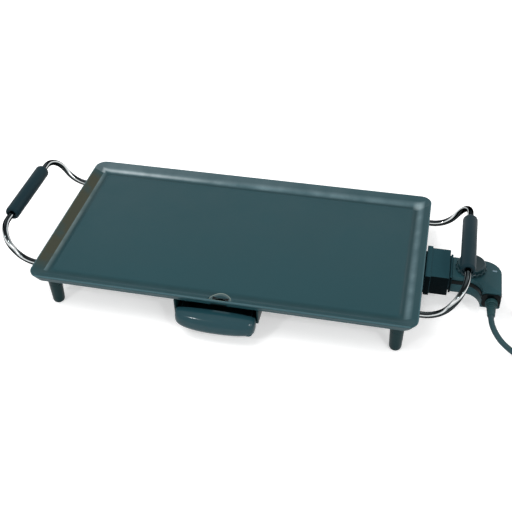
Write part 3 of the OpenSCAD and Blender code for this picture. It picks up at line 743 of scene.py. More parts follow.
BACK_SLOPE = ((Along.Y, 0.106),)
ON_CREST = ((Along.Z, 0.0565),)
ON_SKIRT = ((Along.INSET, 0.0045),)
ROUND_DRAIN = ((Along.Y, -0.1215), (Along.Z, 0.0490))
# Most marks are painted light and shade: highlights, sheen, glints, a dark reflection and shadows.
# The lip and the crest of the drain are pale bare metal.
MARKS: dict[str, Mark] = {
    # Painted dark reflection, brownish, on the left slope.
    "painted dark reflection on the left slope": Mark(
        "#34372b", ((Along.X, -0.2270, 0.0050, 0.0060), (Along.Y, 0.0, 0.075, 0.045)),
        strength=1.5, patches=2),
    # Painted shade along the gutter.
    "painted shade in the gutter": Mark(
        "#142b2e", ((Along.INSET, 0.0185, 0.0014, 0.0045),), strength=0.55, patches=1),
    # Painted highlight along the foot of the slopes, except on the left and at the front.
    "painted highlight at the foot of the slopes": Mark(
        "#7b949b", ((Along.INSET, 0.0130, 0.0010, 0.0045),), strength=0.40, patches=2,
        above=((Along.X, -0.222), (Along.Y, -0.106))),
    # Painted sheen on the back slope, weaker towards the right.
    "painted sheen on the back slope": Mark(
        "#8b979b", ((Along.INSET, 0.0064, 0.0040, 0.0030),), strength=0.5, patches=1,
        above=BACK_SLOPE, fading=True),
    "gleam at the back slope's foot": Mark(
        "#b4c0c3", ((Along.INSET, 0.0126, 0.0006, 0.0024), (Along.X, -0.190, 0.040, 0.120)),
        strength=0.6, patches=1, above=BACK_SLOPE),
    "glint in the back corner": Mark(
        "#9fb2b6", ((Along.X, 0.2190, 0.0020, 0.0060), (Along.Y, 0.1090, 0.0020, 0.0060)),
        strength=0.6, patches=1),
    # Painted highlight along the ridge.
    "painted highlight on the ridge": Mark(
        "#5f7f87", ((Along.INSET, 0.0006, 0.0006, 0.0006),), strength=0.25, above=ON_CREST),
    "shadow of the bead": Mark(
        "#0e2023", ((Along.Z, 0.0549, 0.0003, 0.0002),), strength=0.85, below=ON_SKIRT),
    "shadow of the lower step": Mark(
        "#12282b", ((Along.Z, 0.0507, 0.0002, 0.0002),), strength=0.6, below=ON_SKIRT),
    "sheen of the scoop": Mark(
        "#a9b8b8", ((Along.REACH, 0.0118, 0.0006, 0.0014),), strength=0.12, above=ROUND_DRAIN),
    "bright lip of the scoop": Mark(
        "#c3cab8", ((Along.REACH, 0.0129, 0.0001, 0.0003),), strength=0.5, patches=1,
        above=ROUND_DRAIN),
    # Painted shade in the drain's well and at the bottom of the scoop.
    "painted shade in the drain's well": Mark(
        "#030707", ((Along.X, 0.0042, 0.0096, 0.0004), (Along.Y, -0.1200, 0.0098, 0.0004)),
        below=((Along.Z, 0.0502),)),
    "pale crest before the drain": Mark(
        "#b7bda6", ((Along.X, 0.0040, 0.0065, 0.003), (Along.Y, -0.1235, 0.0003, 0.0002)),
        strength=0.55, above=ON_CREST),
}


@dataclass(frozen=True)
class Coating(Finish):
    """Coating of the plate, with painted light and shade over its colour, and pale bare metal at
    the drain.
    """

    half_x: float = 0.235
    half_y: float = 0.125
    scoop: Triple = (0.0045, -0.117, 0.0507)
    patch_scale: float = 40.0
    patch_level: float = 0.35
    fade_end: float = 0.36

    def shade(self, wires: Wiring, place: object) -> object:
        """Base colour, with the painted light and shade and the bare metal laid over it one by
        one.

        Args:
            wires: the wiring of the material.
            place: the place on the plate.

        Returns:
            The colour.
        """
        base = super().shade(wires, place)
        x, y, z = wires.parts(place)
        off_x = wires.math("SUBTRACT", wires.math("ABSOLUTE", x), self.half_x)
        off_y = wires.math("SUBTRACT", wires.math("ABSOLUTE", y), self.half_y)
        inset_by = wires.math("MULTIPLY", -1.0, wires.math("MAXIMUM", off_x, off_y))
        reach = wires.add("VectorMath", {0: place, 1: self.scoop}, operation="DISTANCE")
        measured = {Along.X: x, Along.Y: y, Along.Z: z, Along.INSET: inset_by,
                    Along.REACH: reach.outputs["Value"]}
        patchy = wires.patches(place, self.patch_scale, self.patch_level)
        fading = wires.math("SUBTRACT", self.fade_end, x)
        for mark in MARKS.values():
            masks = [wires.near(measured[along], *band) for along, *band in mark.bands]
            masks += [wires.math("GREATER_THAN", measured[a], limit) for a, limit in mark.above]
            masks += [wires.math("LESS_THAN", measured[a], limit) for a, limit in mark.below]
            masks += [patchy] * mark.patches + [fading] * mark.fading
            base = wires.mix(wires.both(*masks, mark.strength), base, tint(mark.colour))
        return base


@dataclass(frozen=True)
class Metal(Finish):
    """Bare metal."""

    metal: float = 1.0
    sheen: float = 0.5


@dataclass(frozen=True)
class Plated(Metal):
    """Plated rod with painted reflections: bands of light and dark that follow the way its surface
    faces.
    """

    level: float = 0.42
    span: float = 0.5
    wander: float = 0.16
    # Painted reflections, from faces that look down to faces that look up.
    bands: tuple[tuple[float, str], ...] = (
        (0.0, "#0b0f11"), (0.40, "#13181a"), (0.48, "#3f4647"), (0.55, "#15191b"),
        (0.63, "#1d2223"), (0.69, "#b9c0c1"), (0.76, "#f4f6f6"), (0.81, "#70787a"),
        (0.86, "#1f2526"), (0.94, "#15191b"), (1.0, "#4a5153"))

    def shade(self, wires: Wiring, place: object) -> object:
        """Painted reflections, as bands from the underside up to the crown.

        Args:
            wires: the wiring of the material.
            place: the place on the piece.

        Returns:
            The colour.
        """
        facing_up = wires.both(wires.parts(wires.normal())["Z"], self.span)
        wander = wires.both(wires.noise(place, 30.0, 1.0), self.wander)
        height = wires.math("ADD", facing_up, wander)
        return wires.ramp(wires.math("ADD", height, self.level), self.bands)


@dataclass(frozen=True)
class Zoned(Finish):
    """Finish with painted shade: darker inside a box, or on faces that look one way."""

    # Colour of the painted shade.
    shade_colour: str = "#020809"
    low: Triple = (-1.0, -1.0, -1.0)
    high: Triple = (1.0, 1.0, 1.0)
    looks: Triple = (0.0, 0.0, 0.0)
    fade: float = 0.0004
    strength: float = 0.95

    def shade(self, wires: Wiring, place: object) -> object:
        """Base colour, with the painted shade laid over it inside the box and on the faces that
        look that way.

        Args:
            wires: the wiring of the material.
            place: the place on the piece.

        Returns:
            The colour.
        """
        masks = [wires.near(socket, (a + b) / 2, (b - a) / 2, self.fade)
                 for socket, a, b in zip(wires.parts(place), self.low, self.high)]
        if any(self.looks):
            masks.append(wires.near(wires.dot(wires.normal(), self.looks), 1.0, 0.25, 0.15))
        return wires.mix(wires.both(*masks, self.strength), super().shade(wires, place),
                         tint(self.shade_colour))


@dataclass(frozen=True)
class Lens(Finish):
    """Tinted clear plastic or glass."""

    sheen: float = 0.5
    clear: float = 0.35
    bends_light: float = 1.49

    def build(self, effects: Effects) -> bpy.types.Material:
        """Builds the opaque finish and lets some light through.

        Args:
            effects: the shared node groups.

        Returns:
            The material.
        """
        material = super().build(effects)
        skin = next(n for n in material.node_tree.nodes if n.type == "BSDF_PRINCIPLED")
        skin.inputs["Transmission Weight"].default_value = self.clear
        skin.inputs["IOR"].default_value = self.bends_light
        return material


FINISHES: dict[str, Finish] = {f.name: f for f in (
    Coating("nonstick", "#1b3d43", "#55747c", (0.34, 0.46), grain=1500.0, depth=0.00003,
            wear=0.5, drift=0.05, wave=0.0006, sheen=0.18),
    # Painted shade: the tray's box behind its front is near black, and shows black down the drain.
    Zoned("tray_black", "#1c3c43", "#3d5d64", (0.13, 0.18), grain=700.0, depth=0.00001,
          wear=0.2, sheen=0.22, low=(-1.0, -0.1225, -1.0), high=(1.0, 0.0, 0.037)),
    Finish("black_phenolic", "#0b292c", "#2c4b52", (0.3, 0.42), wear=0.35, sheen=0.12),
    Finish("grip_black", "#0b242b", "#21383f", (0.42, 0.54), grain=1200.0, depth=0.00003,
           wear=0.2, sheen=0.12),
    Finish("control_black", "#1f4046", "#3f5f68", (0.4, 0.52), wear=0.35, sheen=0.15),
    Finish("dial_black", "#162f34", "#48666f", (0.26, 0.38), wear=0.5, sheen=0.25),
    Finish("relief_black", "#213f42", "#3f5a60", (0.45, 0.55), wear=0.2, sheen=0.15),
    Finish("cord_black", "#263f44", "#3f5a60", (0.4, 0.5), wear=0.0, grain=500.0, sheen=0.15),
    Finish("tie_black", "#0e1a1c", "#22302f", (0.5, 0.6), wear=0.2),
    Finish("plug_black", "#14282c", "#31494f", (0.38, 0.5), wear=0.4),
    # Painted shade: the faces that look to the front are near black.
    Zoned("housing_black", "#213f46", "#45626a", (0.4, 0.5), wear=0.4, sheen=0.02,
          shade_colour="#010507", looks=(0.0, -1.0, 0.0)),
    # Near black, partly as a painted dark reflection on the control's glossy step.
    Finish("gloss_black", "#030b0d", "#10262a", (0.14, 0.2), wear=0.2, sheen=0.08),
    Plated("chrome_rod", "#767d7e", "#b5b9ba", (0.05, 0.11), depth=0.000004, wear=0.1,
           drift=0.04, rim=0.0),
    Metal("zinc_steel", "#8d8f8e", "#b8b9b8", (0.3, 0.5), grain=260.0, depth=0.00001, wear=0.3,
          drift=0.15),
    Metal("screw_steel", "#a9acad", "#d6d8d9", (0.22, 0.36), wear=0.3),
    Metal("nickel_pins", "#c6c3ba", "#e4e1d8", (0.12, 0.24), wear=0.2),
    Metal("probe_steel", "#b5b7b8", "#dcdedf", (0.2, 0.34), grain=1600.0, wear=0.2),
    Metal("contact_brass", "#b7924a", "#dcc07c", (0.25, 0.4), wear=0.3, drift=0.12),
    Metal("bimetal", "#a98a52", "#cdb27d", (0.28, 0.42), wear=0.3, drift=0.12),
    Metal("element_sheath", "#5d5a56", "#807c75", (0.4, 0.6), grain=400.0, depth=0.00003,
          wear=0.3, drift=0.25),
    Finish("switch_ceramic", "#d5cdb9", "#ebe6d8", (0.35, 0.5), wear=0.2, sheen=0.5),
    Lens("lens_blue", "#6f8fa0", "#a9c0cc", (0.1, 0.2), wear=0.2, coat=0.3),
    Lens("lamp_glass", "#dcb392", "#f2dccb", (0.05, 0.12), wear=0.0, clear=0.7),
)}


class Workshop:
    """Dresses pieces: gives each its finish, its body and the nodes that it stands for."""

    def __init__(self) -> None:
        """Builds every finish once."""
        effects = Effects()
        self.paint = {name: finish.build(effects) for name, finish in FINISHES.items()}
        self.slots = {part["node"]: part["material_slot"] for part in frame["record"]["subparts"]}
        self.stood_for: set[str] = set()

    def dress(self, piece: Piece, slot: str, body: str, *nodes: str,
              paint: str | None = None) -> None:
        """Finishes a piece.

        Args:
            piece: the new piece.
            slot: the material slot whose finish it gets.
            body: the body that it rides on.
            nodes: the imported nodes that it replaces.
            paint: another finish than the slot's own.
        """
        piece.data.materials.clear()
        piece.data.materials.append(self.paint[paint or slot])
        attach(piece, body)
        if nodes:
            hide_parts(*nodes)
            self.stood_for.update(nodes)
        log.info("%s: %s on %s, for %s", piece.name, slot, body, ", ".join(nodes) or "no node")

    def carry_over(self) -> None:
        """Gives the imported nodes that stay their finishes."""
        for name, node in frame["nodes"].items():
            if name in self.stood_for:
                continue
            node.data.materials.clear()
            node.data.materials.append(self.paint[self.slots[name]])
            log.info("%s: carried over with %s", name, self.slots[name])


# ---------------------------------------------------------------- studio


@dataclass(frozen=True)
class Lamp:
    """Square lamp: where it hangs, the length of its side and its power in watts.

    Glossy pieces mirror it, unless mirrored is false.
    """

    name: str
    place: Triple
    size: float
    power: float
    mirrored: bool = True


LAMPS = (Lamp("key", (-0.5, -0.35, 1.6), 1.0, 16.0, mirrored=False),
         Lamp("fill", (1.3, -1.1, 1.0), 0.8, 5.0),
         Lamp("back", (1.3, 1.1, 1.3), 0.8, 4.0),
         Lamp("spot_left", (-0.75, -1.3, 1.25), 0.11, 4.6),
         Lamp("spot_right", (0.95, -1.2, 1.35), 0.11, 4.6))


@dataclass
class Studio:
    """Camera, floor, lamps and sky. Angles are degrees, lens and sensor are millimetres."""

    target: Triple = (0.0217, 0.0, 0.025)
    distance: float = 1.0985
    azimuth: float = 13.53
    elevation: float = 40.44
    roll: float = -1.62
    lens: float = 59.8
    sensor: float = 36.0
    clip: Pair = (0.05, 30.0)
    floor_size: float = 12
    floor_grey: float = 0.86
    floor_lift: float = 0.42
    sky_light: float = 0.55

    def camera(self) -> None:
        """Puts up the camera."""
        a, e, r = (radians(v) for v in (self.azimuth, self.elevation, self.roll))
        back = Vector((sin(a) * cos(e), -cos(a) * cos(e), sin(e)))
        right = (-back).cross(UP).normalized()
        up = right.cross(-back)
        x_axis = cos(r) * right + sin(r) * up
        y_axis = -sin(r) * right + cos(r) * up
        data = bpy.data.cameras.new("view")
        data.lens, data.sensor_width = self.lens, self.sensor
        data.clip_start, data.clip_end = self.clip
        camera = bpy.data.objects.new("view", data)
        bpy.context.scene.collection.objects.link(camera)
        turn = Matrix((x_axis, y_axis, back)).transposed().to_4x4()
        camera.matrix_world = Matrix.Translation(Vector(self.target) + back * self.distance) @ turn
        bpy.context.scene.camera = camera

    def hang(self, lamp: Lamp) -> None:
        """Hangs a lamp and aims it at the griddle.

        Args:
            lamp: the lamp.
        """
        data = bpy.data.lights.new(lamp.name, "AREA")
        data.size, data.energy = lamp.size, lamp.power
        hung = bpy.data.objects.new(lamp.name, data)
        bpy.context.scene.collection.objects.link(hung)
        hung.location, hung.visible_glossy = lamp.place, lamp.mirrored
        aim = Vector(lamp.place) - Vector(self.target)
        hung.rotation_euler = aim.to_track_quat("Z", "Y").to_euler()

    def floor(self) -> None:
        """Pale floor that shows white to the camera and keeps the shadow."""
        bpy.ops.object.select_all(action="DESELECT")
        bpy.ops.mesh.primitive_plane_add(size=self.floor_size)
        ground = settle(bpy.context.object, "floor")
        material = bpy.data.materials.new("pale_floor")
        material.use_nodes = True
        wires = Wiring(material.node_tree)
        matte = wires.add("BsdfDiffuse", {"Color": (*[self.floor_grey] * 3, 1.0)})
        lift = wires.add("Emission", {
            "Color": WHITE, "Strength": wires.both(wires.seen(), self.floor_lift)})
        both = wires.add("AddShader", {0: matte.outputs[0], 1: lift.outputs[0]})
        wires.add("OutputMaterial", {0: both.outputs[0]})
        ground.data.materials.append(material)

    def sky(self) -> None:
        """Soft sky that looks white behind the part."""
        world = bpy.data.worlds.new("soft_sky")
        world.use_nodes = True
        bpy.context.scene.world = world
        wires = Wiring(world.node_tree)
        lit, shown = (wires.add("Background", {"Color": WHITE, "Strength": strength}).outputs[0]
                      for strength in (self.sky_light, 1.0))
        both = wires.add("MixShader", {0: wires.seen(), 1: lit, 2: shown})
        wires.add("OutputWorld", {0: both.outputs[0]})

    def build(self) -> None:
        """Puts up everything."""
        self.camera()
        self.floor()
        self.sky()
        for lamp in LAMPS:
            self.hang(lamp)
        bpy.context.scene.view_settings.view_transform = "Standard"


# ---------------------------------------------------------------- sub-assemblies


@dataclass
class SupplyCord:
    """Mains cord: from the strain relief to a tied coil and on to the plug.

    Its first and last stretch are points in millimetres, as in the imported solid. The coil sweeps
    (from, to, step) round its centre and starts to move to its next slot at each of the
    crossings, all in degrees. The plug's shoulder and the boot's end are steps of (distance along
    the axis, radius).
    """

    shop: Workshop
    radius: float = 0.0034
    length: float = 1.39
    exit: Triple = (0.317, -0.064, 0.034)
    centre: Pair = (0.400, -0.056)
    outer: float = 0.0409
    inner: float = 0.0341
    layers: Triple = (0.0042, 0.0110, 0.0178)
    sweep: tuple[int, int, int] = (-90, 1801, 12)
    crossings: tuple[int, ...] = (130, 455, 812, 1139, 1466)
    crossing: float = 110.0
    first: tuple[Point, ...] = (
        (317, -58, 34), (317, -61, 34), (317, -64, 34), (317, -66, 34), (317.5, -71.8, 33.7),
        (318.8, -77.4, 32.6), (321.1, -82.6, 30.9), (324.1, -87.1, 28.7), (327.7, -90.7, 25.9),
        (331.9, -93.4, 22.8), (338.3, -95.9, 18.6), (345, -97.9, 14.7), (352, -99.4, 11.4),
        (359.5, -100.4, 8.6), (367, -100.9, 6.5), (375, -100.8, 5.1), (383, -100.1, 4.4),
        (391.5, -98.8, 4.2))
    last: tuple[Point, ...] = (
        (441, -52, 11), (441, -47, 11), (441, -43, 11.1), (441, -39, 11.6), (441, -35, 12.8),
        (441, -31, 14.7), (441, -27, 16.5), (441, -23, 17.5), (441, -19, 18), (441, -15, 18),
        (441, -10, 18))
    tie_half: float = 0.0144
    tie_wide: float = 0.009
    tie_wall: float = 0.0008
    tie_corner: float = 0.0036
    tie_turn: float = 150
    ribs: int = 4
    neck_pitch: float = 0.0030
    neck_groove: float = 0.0009
    shoulder: tuple[Pair, ...] = (
        (0.0138, 0.0058), (0.0150, 0.0062), (0.0164, 0.0074), (0.0180, 0.0094), (0.0200, 0.0112),
        (0.0220, 0.0124), (0.0235, 0.0142), (0.0250, 0.0162), (0.0268, 0.0175))
    boot_pitch: float = 0.0031
    boot_root: float = 0.0044
    boot_end: tuple[Pair, ...] = (
        (0.0232, 0.0043), (0.0236, 0.0048), (0.0262, 0.0047), (0.0274, 0.0044), (0.0279, 0.0038))

    def coil(self) -> list[Vector]:
        """Points of the turns: each turn keeps its place until it crosses to the next one.

        Returns:
            The points, from the first stretch on.
        """
        low, mid, top = self.layers
        slots = ((self.outer, low), (self.inner, low), (self.inner, mid), (self.inner, top),
                 (self.outer, top), (self.outer, mid))
        points = []
        for angle in range(*self.sweep):
            radius, height = slots[0]
            for start, after in zip(self.crossings, slots[1:]):
                t = min(1.0, max(0.0, (angle - start) / self.crossing))
                t = t * t * (3 - 2 * t)
                radius += (after[0] - radius) * t
                height += (after[1] - height) * t
            a = radians(angle)
            points.append(Vector((self.centre[0] + radius * cos(a),
                                  self.centre[1] + radius * sin(a), height)))
        return points

    def flex(self) -> Piece:
        """The cord itself, a round curve along all its points.

        Returns:
            The curve.
        """
        first, last = ([Vector(p) * MM for p in points] for points in (self.first, self.last))
        points = first + self.coil() + last
        data = bpy.data.curves.new("mains_cord", "CURVE")
        data.dimensions, data.bevel_depth, data.bevel_resolution = "3D", self.radius, 5
        data.use_fill_caps, data.resolution_u = True, 4
        line = data.splines.new("NURBS")
        line.points.add(len(points) - 1)
        for spot, point in zip(line.points, points):
            spot.co = (*point, 1.0)
        line.order_u, line.use_endpoint_u = 4, True
        flex = bpy.data.objects.new("mains_cord", data)
        bpy.context.scene.collection.objects.link(flex)
        return flex

    def tie(self) -> Piece:
        """Flat strap round the turns.

        Returns:
            The strap.
        """
        mid = (self.outer + self.inner) / 2
        strap = block("coil_tie", (mid - self.tie_half, -self.tie_wide / 2, 0),
                      (mid + self.tie_half, self.tie_wide / 2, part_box("cord_tie")[1].z))
        with editing(strap):
            grab(Grab.EDGES, edge_along(AWAY))
            bevel(self.tie_corner, 5)
            grab(Grab.FACES, flat_to(AWAY))
            ring_out(self.tie_wall)
        strap.rotation_euler.z = radians(self.tie_turn)
        strap.location = (*self.centre, 0)
        settle(strap, "coil_tie")
        smooth(strap)
        return strap

    def plug(self) -> Piece:
        """Round plug with a ribbed neck, a groove round its body and a sunk face.

        Returns:
            The plug.
        """
        low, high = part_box("plug_body")
        wide, tall = (high.x - low.x) / 2, high.y - low.y
        steps = [(0.0, 0.0044)]
        for k in range(self.ribs):
            at, r = 0.0012 + self.neck_pitch * k, 0.0046 + 0.0002 * k
            steps += [(at, r), (at + 0.0018, r), (at + 0.0020, r - self.neck_groove),
                      (at + 0.0028, r - self.neck_groove)]
        steps += [*self.shoulder, (0.0290, wide), (0.0300, wide), (0.0301, wide - 0.0006),
                  (0.0309, wide - 0.0006), (0.0310, wide), (tall - 0.0012, wide),
                  (tall - 0.0004, wide - 0.0004), (tall, wide - 0.0014)]
        mid = middle(low, high)
        plug = turned("mains_plug", (mid.x, low.y, mid.z), AWAY, steps, 64)
        with editing(plug):
            grab(Grab.FACES, facing(AWAY, high.y))
            inset(0.003)
            inset(0.0004)
            push(y=-0.0004)
        smooth(plug, 32)
        return plug

    def pins(self) -> Piece:
        """Two round pins with domed tips.

        Returns:
            The pins, as one piece.
        """
        low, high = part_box("plug_pins")
        r, z, tall = (high.z - low.z) / 2, middle(low, high).z, high.y - low.y
        steps = [(0, r), (tall - 0.0022, r), (tall - 0.0012, r * 0.88), (tall - 0.0004, r * 0.62),
                 (tall, r * 0.3)]
        pins = joined("plug_pin_pair", [turned("pin", (x, low.y, z), AWAY, steps, 32)
                                        for x in (low.x + r, high.x - r)])
        smooth(pins, 40)
        return pins

    def relief(self) -> Piece:
        """Strain relief: a collar, ribs that grow smaller, and a last longer one.

        Returns:
            The relief.
        """
        low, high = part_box("strain_relief")
        mid, wide = middle(low, high), (high.x - low.x) / 2
        steps = [(0.0, 0.0042), (0.004, 0.0042), (0.0041, wide - 0.0006), (0.0046, wide),
                 (0.0090, wide - 0.0002), (0.0096, wide - 0.0009), (0.0098, 0.0046)]
        for k in range(self.ribs):
            at, r = 0.0106 + self.boot_pitch * k, 0.0056 - 0.0002 * k
            steps += [(at, self.boot_root), (at + 0.0003, r), (at + 0.0016, r),
                      (at + 0.0019, self.boot_root)]
        relief = turned("strain_relief_boot", (mid.x, high.y, mid.z), -AWAY,
                        [*steps, *self.boot_end], 40)
        smooth(relief, 30)
        return relief

    def build(self) -> None:
        """Makes and dresses the cord and the pieces on it."""
        flex, tie, plug, pins, relief = (self.flex(), self.tie(), self.plug(), self.pins(),
                                         self.relief())
        dress = self.shop.dress
        dress(flex, "cord_black", "control", "supply_cord", "cord_coil", "cord_tail")
        dress(tie, "tie_black", "control", "cord_tie")
        dress(plug, "plug_black", "control", "plug_body")
        dress(pins, "nickel_pins", "control", "plug_pins")
        dress(relief, "relief_black", "control", "strain_relief")


@dataclass
class CookingPlate:
    """Cast plate with its rim, cove, gutter, floor and drain.

    The cove and the hollow underneath are rows of loops, each as (distance inside the rim,
    height, how much the corner radius tightens), the trim as (drop below the rim, distance
    inside it) down the outer wall, and the scoop as (height, radius).
    """

    shop: Workshop
    half_x: float = 0.235
    half_y: float = 0.125
    corner: float = 0.014
    taper: float = 0.004
    rim: float = 0.058
    skirt: float = 0.0475
    cove: tuple[Triple, ...] = (
        (0.0012, 0.0580, 0.0010), (0.0022, 0.05765, 0.0003), (0.0042, 0.0565, 0.0003),
        (0.0066, 0.0550, 0.0003), (0.0090, 0.0535, 0.0003), (0.0112, 0.0522, 0.0003),
        (0.0132, 0.0512, 0.0003), (0.0150, 0.0506, 0.0003), (0.0166, 0.0503, 0.0003),
        (0.0186, 0.0503, 0.0003), (0.0202, 0.0505, 0.0003), (0.0214, 0.0509, 0.0003),
        (0.0224, 0.0513, 0.0003), (0.0238, 0.0515, 0.0003))
    hollow: tuple[Triple, ...] = (
        (0.0062, 0.0475, 0.0022), (0.0037, 0.0550, 0.0), (0.0125, 0.0479, 0.0040),
        (0.0135, 0.0479, 0.0005))
    trim: tuple[Pair, ...] = (
        (0.0006, 0.0), (0.0024, 0.0001), (0.0028, 0.0009), (0.0033, 0.0011), (0.0069, 0.0023),
        (0.0072, 0.0029), (0.0078, 0.0030))
    rim_edge: float = 0.0007
    drain: Pair = (0.0042, -0.1165)
    hole: Triple = (0.0042, -0.1200, 0.030)
    hole_radius: float = 0.0094
    hole_tall: float = 0.0215
    scoop_shift: Pair = (0.0003, -0.0005)
    scoop: tuple[Pair, ...] = (
        (0.0488, 0.0084), (0.0490, 0.0094), (0.0494, 0.0104), (0.0500, 0.0114), (0.0506, 0.0121),
        (0.0512, 0.0127), (0.0520, 0.0132), (0.0536, 0.0139), (0.0560, 0.0146), (0.0600, 0.0152))
    kept_wall: float = 0.0014
    lip_reach: float = 0.0175
    lip_bottom: float = 0.0504
    lip_edge: float = 0.0006
    notch: Triple = (0.240, 0.087, 0.04405)
    notch_radius: float = 0.0042
    notch_deep: float = 0.021
    strip: tuple[Point, Point] = ((-0.205, -0.067, 0.0459), (0.205, 0.074, 0.0482))
    strip_corner: float = 0.016
    strip_wide: float = 0.012
    well: tuple[Point, Point] = ((0.153, -0.007, 0.0349), (0.221, 0.007, 0.0482))
    well_edge: float = 0.0045
    boss: Triple = (0.212, 0.102, 0.034)
    boss_radius: float = 0.0045
    boss_tall: float = 0.0141

    def _follow(self, loops: Sequence[Triple], at: float, level: float) -> None:
        """Leads the selected face inwards and up or down, one new loop for each step.

        Args:
            loops: the loops, as the class describes them.
            at: how far the face's edge lies inside the rim at the start.
            level: how high it lies at the start.
        """
        for to, height, tighten in loops:
            if tighten:
                inset(tighten)
            else:
                pull()
            x, y = self.half_x - at - tighten, self.half_y - at - tighten
            rest = to - at - tighten
            shrink((x - rest) / x, (y - rest) / y, 1, about=(0, 0, 0))
            push(z=height - level)
            at, level = to, height

    def casting(self) -> Piece:
        """The plate itself.

        Returns:
            The plate, without its drain.
        """
        plate = block("griddle_casting", (-self.half_x, -self.half_y, self.skirt),
                      (self.half_x, self.half_y, self.rim))
        with editing(plate):
            grab(Grab.EDGES, edge_along(UP))
            bevel(self.corner, 14)
            grab(Grab.FACES, facing(UP))
            self._follow(self.cove, 0.0, self.rim)
            grab(Grab.FACES, facing(-UP))
            shrink(1 - self.taper / self.half_x, 1 - self.taper / self.half_y, 1, (0, 0, 0))
            self._follow(self.hollow, self.taper, self.skirt)
            self._bead()
            grab(Grab.EDGES, lambda e: all(v.co.z > self.rim - 1e-5 for v in e.verts)
                 and self._outside(middle(*(v.co for v in e.verts))))
            bevel(self.rim_edge, 3)
        return plate

    def _bead(self) -> None:
        """Forms the bead under the rim and a fine step lower on the skirt."""
        for drop, _ in self.trim:
            slice_at((0, 0, self.rim - drop), UP)
        for drop, to in self.trim:
            at, level = self.taper * drop / (self.rim - self.skirt), self.rim - drop
            grab(Grab.VERTS, lambda v, level=level: abs(v.co.z - level) < 1e-5
                 and self._outside(v.co))
            x, y = self.half_x - at, self.half_y - at
            shrink((self.half_x - to) / x, (self.half_y - to) / y, 1, (0, 0, 0))

    def _outside(self, spot: Vector, slack: float = 0.0009) -> bool:
        """Whether a point lies on the skirt's outer side.

        Args:
            spot: the point.
            slack: how far within the skirt it may lie.

        Returns:
            Whether it does.
        """
        x = abs(spot.x) - self.half_x + self.corner
        y = abs(spot.y) - self.half_y + self.corner
        within = self.corner - (hypot(x, y) if x > 0 and y > 0 else max(x, y))
        return within < self.taper * (self.rim - spot.z) / (self.rim - self.skirt) + slack

    def _open_drain(self, plate: Piece) -> None:
        """Cuts the half-moon drain, the scoop that leads to it and the notches for the rods.

        Args:
            plate: the plate that is cut.
        """
        x, y = self.drain
        aside, before = self.scoop_shift
        hole = turned("hole_tool", self.hole, UP,
                      [(0, self.hole_radius), (self.hole_tall, self.hole_radius)], 64)
        scoop = turned("scoop_tool", (x + aside, y + before, 0), UP, self.scoop, 72)
        draw_in = self.kept_wall - self.hollow[0][0]
        slant = Vector((0, self.skirt - self.rim, draw_in)).normalized()
        for tool in (hole, scoop):
            with editing(tool):
                slice_at((x, self.kept_wall - self.half_y, self.rim), slant, keep_below=True)
            cut_out(plate, tool)
        out, along, height = self.notch
        for side in (-1, 1):
            for rod_y in (-along, along):
                cut_out(plate, turned("rod_tool", (side * out, rod_y, height), (-side, 0, 0),
                                      [(0, self.notch_radius),
                                       (self.notch_deep, self.notch_radius)], 32))

        def lip(edge: bmesh.types.BMEdge) -> bool:
            """Sharp edges of the scoop, above the hole."""
            mid = middle(*(v.co for v in edge.verts))
            return (hypot(mid.x - x, mid.y - y) < self.lip_reach and mid.z > self.lip_bottom
                    and mid.y > self.kept_wall + 0.0002 - self.half_y
                    and len(edge.link_faces) == 2 and edge.calc_face_angle(0) > radians(20))

        with editing(plate):
            grab(Grab.EDGES, lip)
            bevel(self.lip_edge, 3)

    def _underside(self) -> list[Piece]:
        """Cast strip over the element, bosses over the feet and the probe's well.

        Returns:
            The strip, the well and the bosses.
        """
        strip, well = block("cast_strip", *self.strip), block("probe_well", *self.well)
        with editing(strip):
            grab(Grab.EDGES, edge_along(UP))
            bevel(self.strip_corner, 6)
            grab(Grab.FACES, flat_to(UP))
            ring_out(self.strip_wide)
        with editing(well):
            grab(Grab.EDGES, lambda e: edge_along(RIGHT)(e)
                 and e.verts[0].co.z < self.well[0][2] + 1e-4)
            bevel(self.well_edge, 5)
        x, y, foot = self.boss
        round_bar = [(0, self.boss_radius), (self.boss_tall, self.boss_radius)]
        bosses = [turned("boss", (left, front, foot), UP, round_bar, 24)
                  for left in (-x, x) for front in (-y, y)]
        return [strip, well, *bosses]

    def build(self) -> None:
        """Makes and dresses the plate."""
        plate = self.casting()
        self._open_drain(plate)
        whole = joined("griddle_casting", [plate, *self._underside()])
        smooth(whole, 32)
        self.shop.dress(whole, "nonstick", "base", "griddle_plate")


@dataclass
class Feet:
    """Four moulded feet.

    The sole's edge is rounded by soft_in sideways and soft_up upwards. The ring is a fine groove
    round the foot, in steps of (height, how far beyond the sole's radius).
    """

    shop: Workshop
    recess: float = 0.0044
    recess_depth: float = 0.009
    sole: float = 0.0075
    soft_in: float = 0.0022
    soft_up: float = 0.005
    ring: tuple[Pair, ...] = (
        (0.0300, 0.0009), (0.0304, 0.0006), (0.0310, 0.0006), (0.0314, 0.0010))
    names: tuple[str, ...] = (
        "foot_front_left", "foot_front_right", "foot_back_left", "foot_back_right")

    def build(self) -> None:
        """Makes one foot and copies it to the other corners."""
        low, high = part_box(self.names[0])
        mid, top, tall = middle(low, high), (high.x - low.x) / 2, high.z
        rounding = [(self.soft_up * (1 - cos(a)), self.sole - self.soft_in * (1 - sin(a)))
                    for a in (radians(degrees) for degrees in range(0, 91, 15))]
        steps = [(self.recess_depth, self.recess), (0.0, self.recess), *rounding,
                 *((height, self.sole + out) for height, out in self.ring),
                 (tall - 0.0016, top), (tall - 0.0004, top - 0.0004), (tall, top - 0.001)]
        first = turned("foot_1", (mid.x, mid.y, 0), UP, steps, 56)
        smooth(first, 32)
        feet = [first]
        for number, node in enumerate(self.names[1:], 2):
            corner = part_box(node)[0]
            feet.append(copy_of(first, f"foot_{number}", (corner.x - low.x, corner.y - low.y, 0)))
        for foot, node in zip(feet, self.names):
            self.shop.dress(foot, "black_phenolic", "base", node)


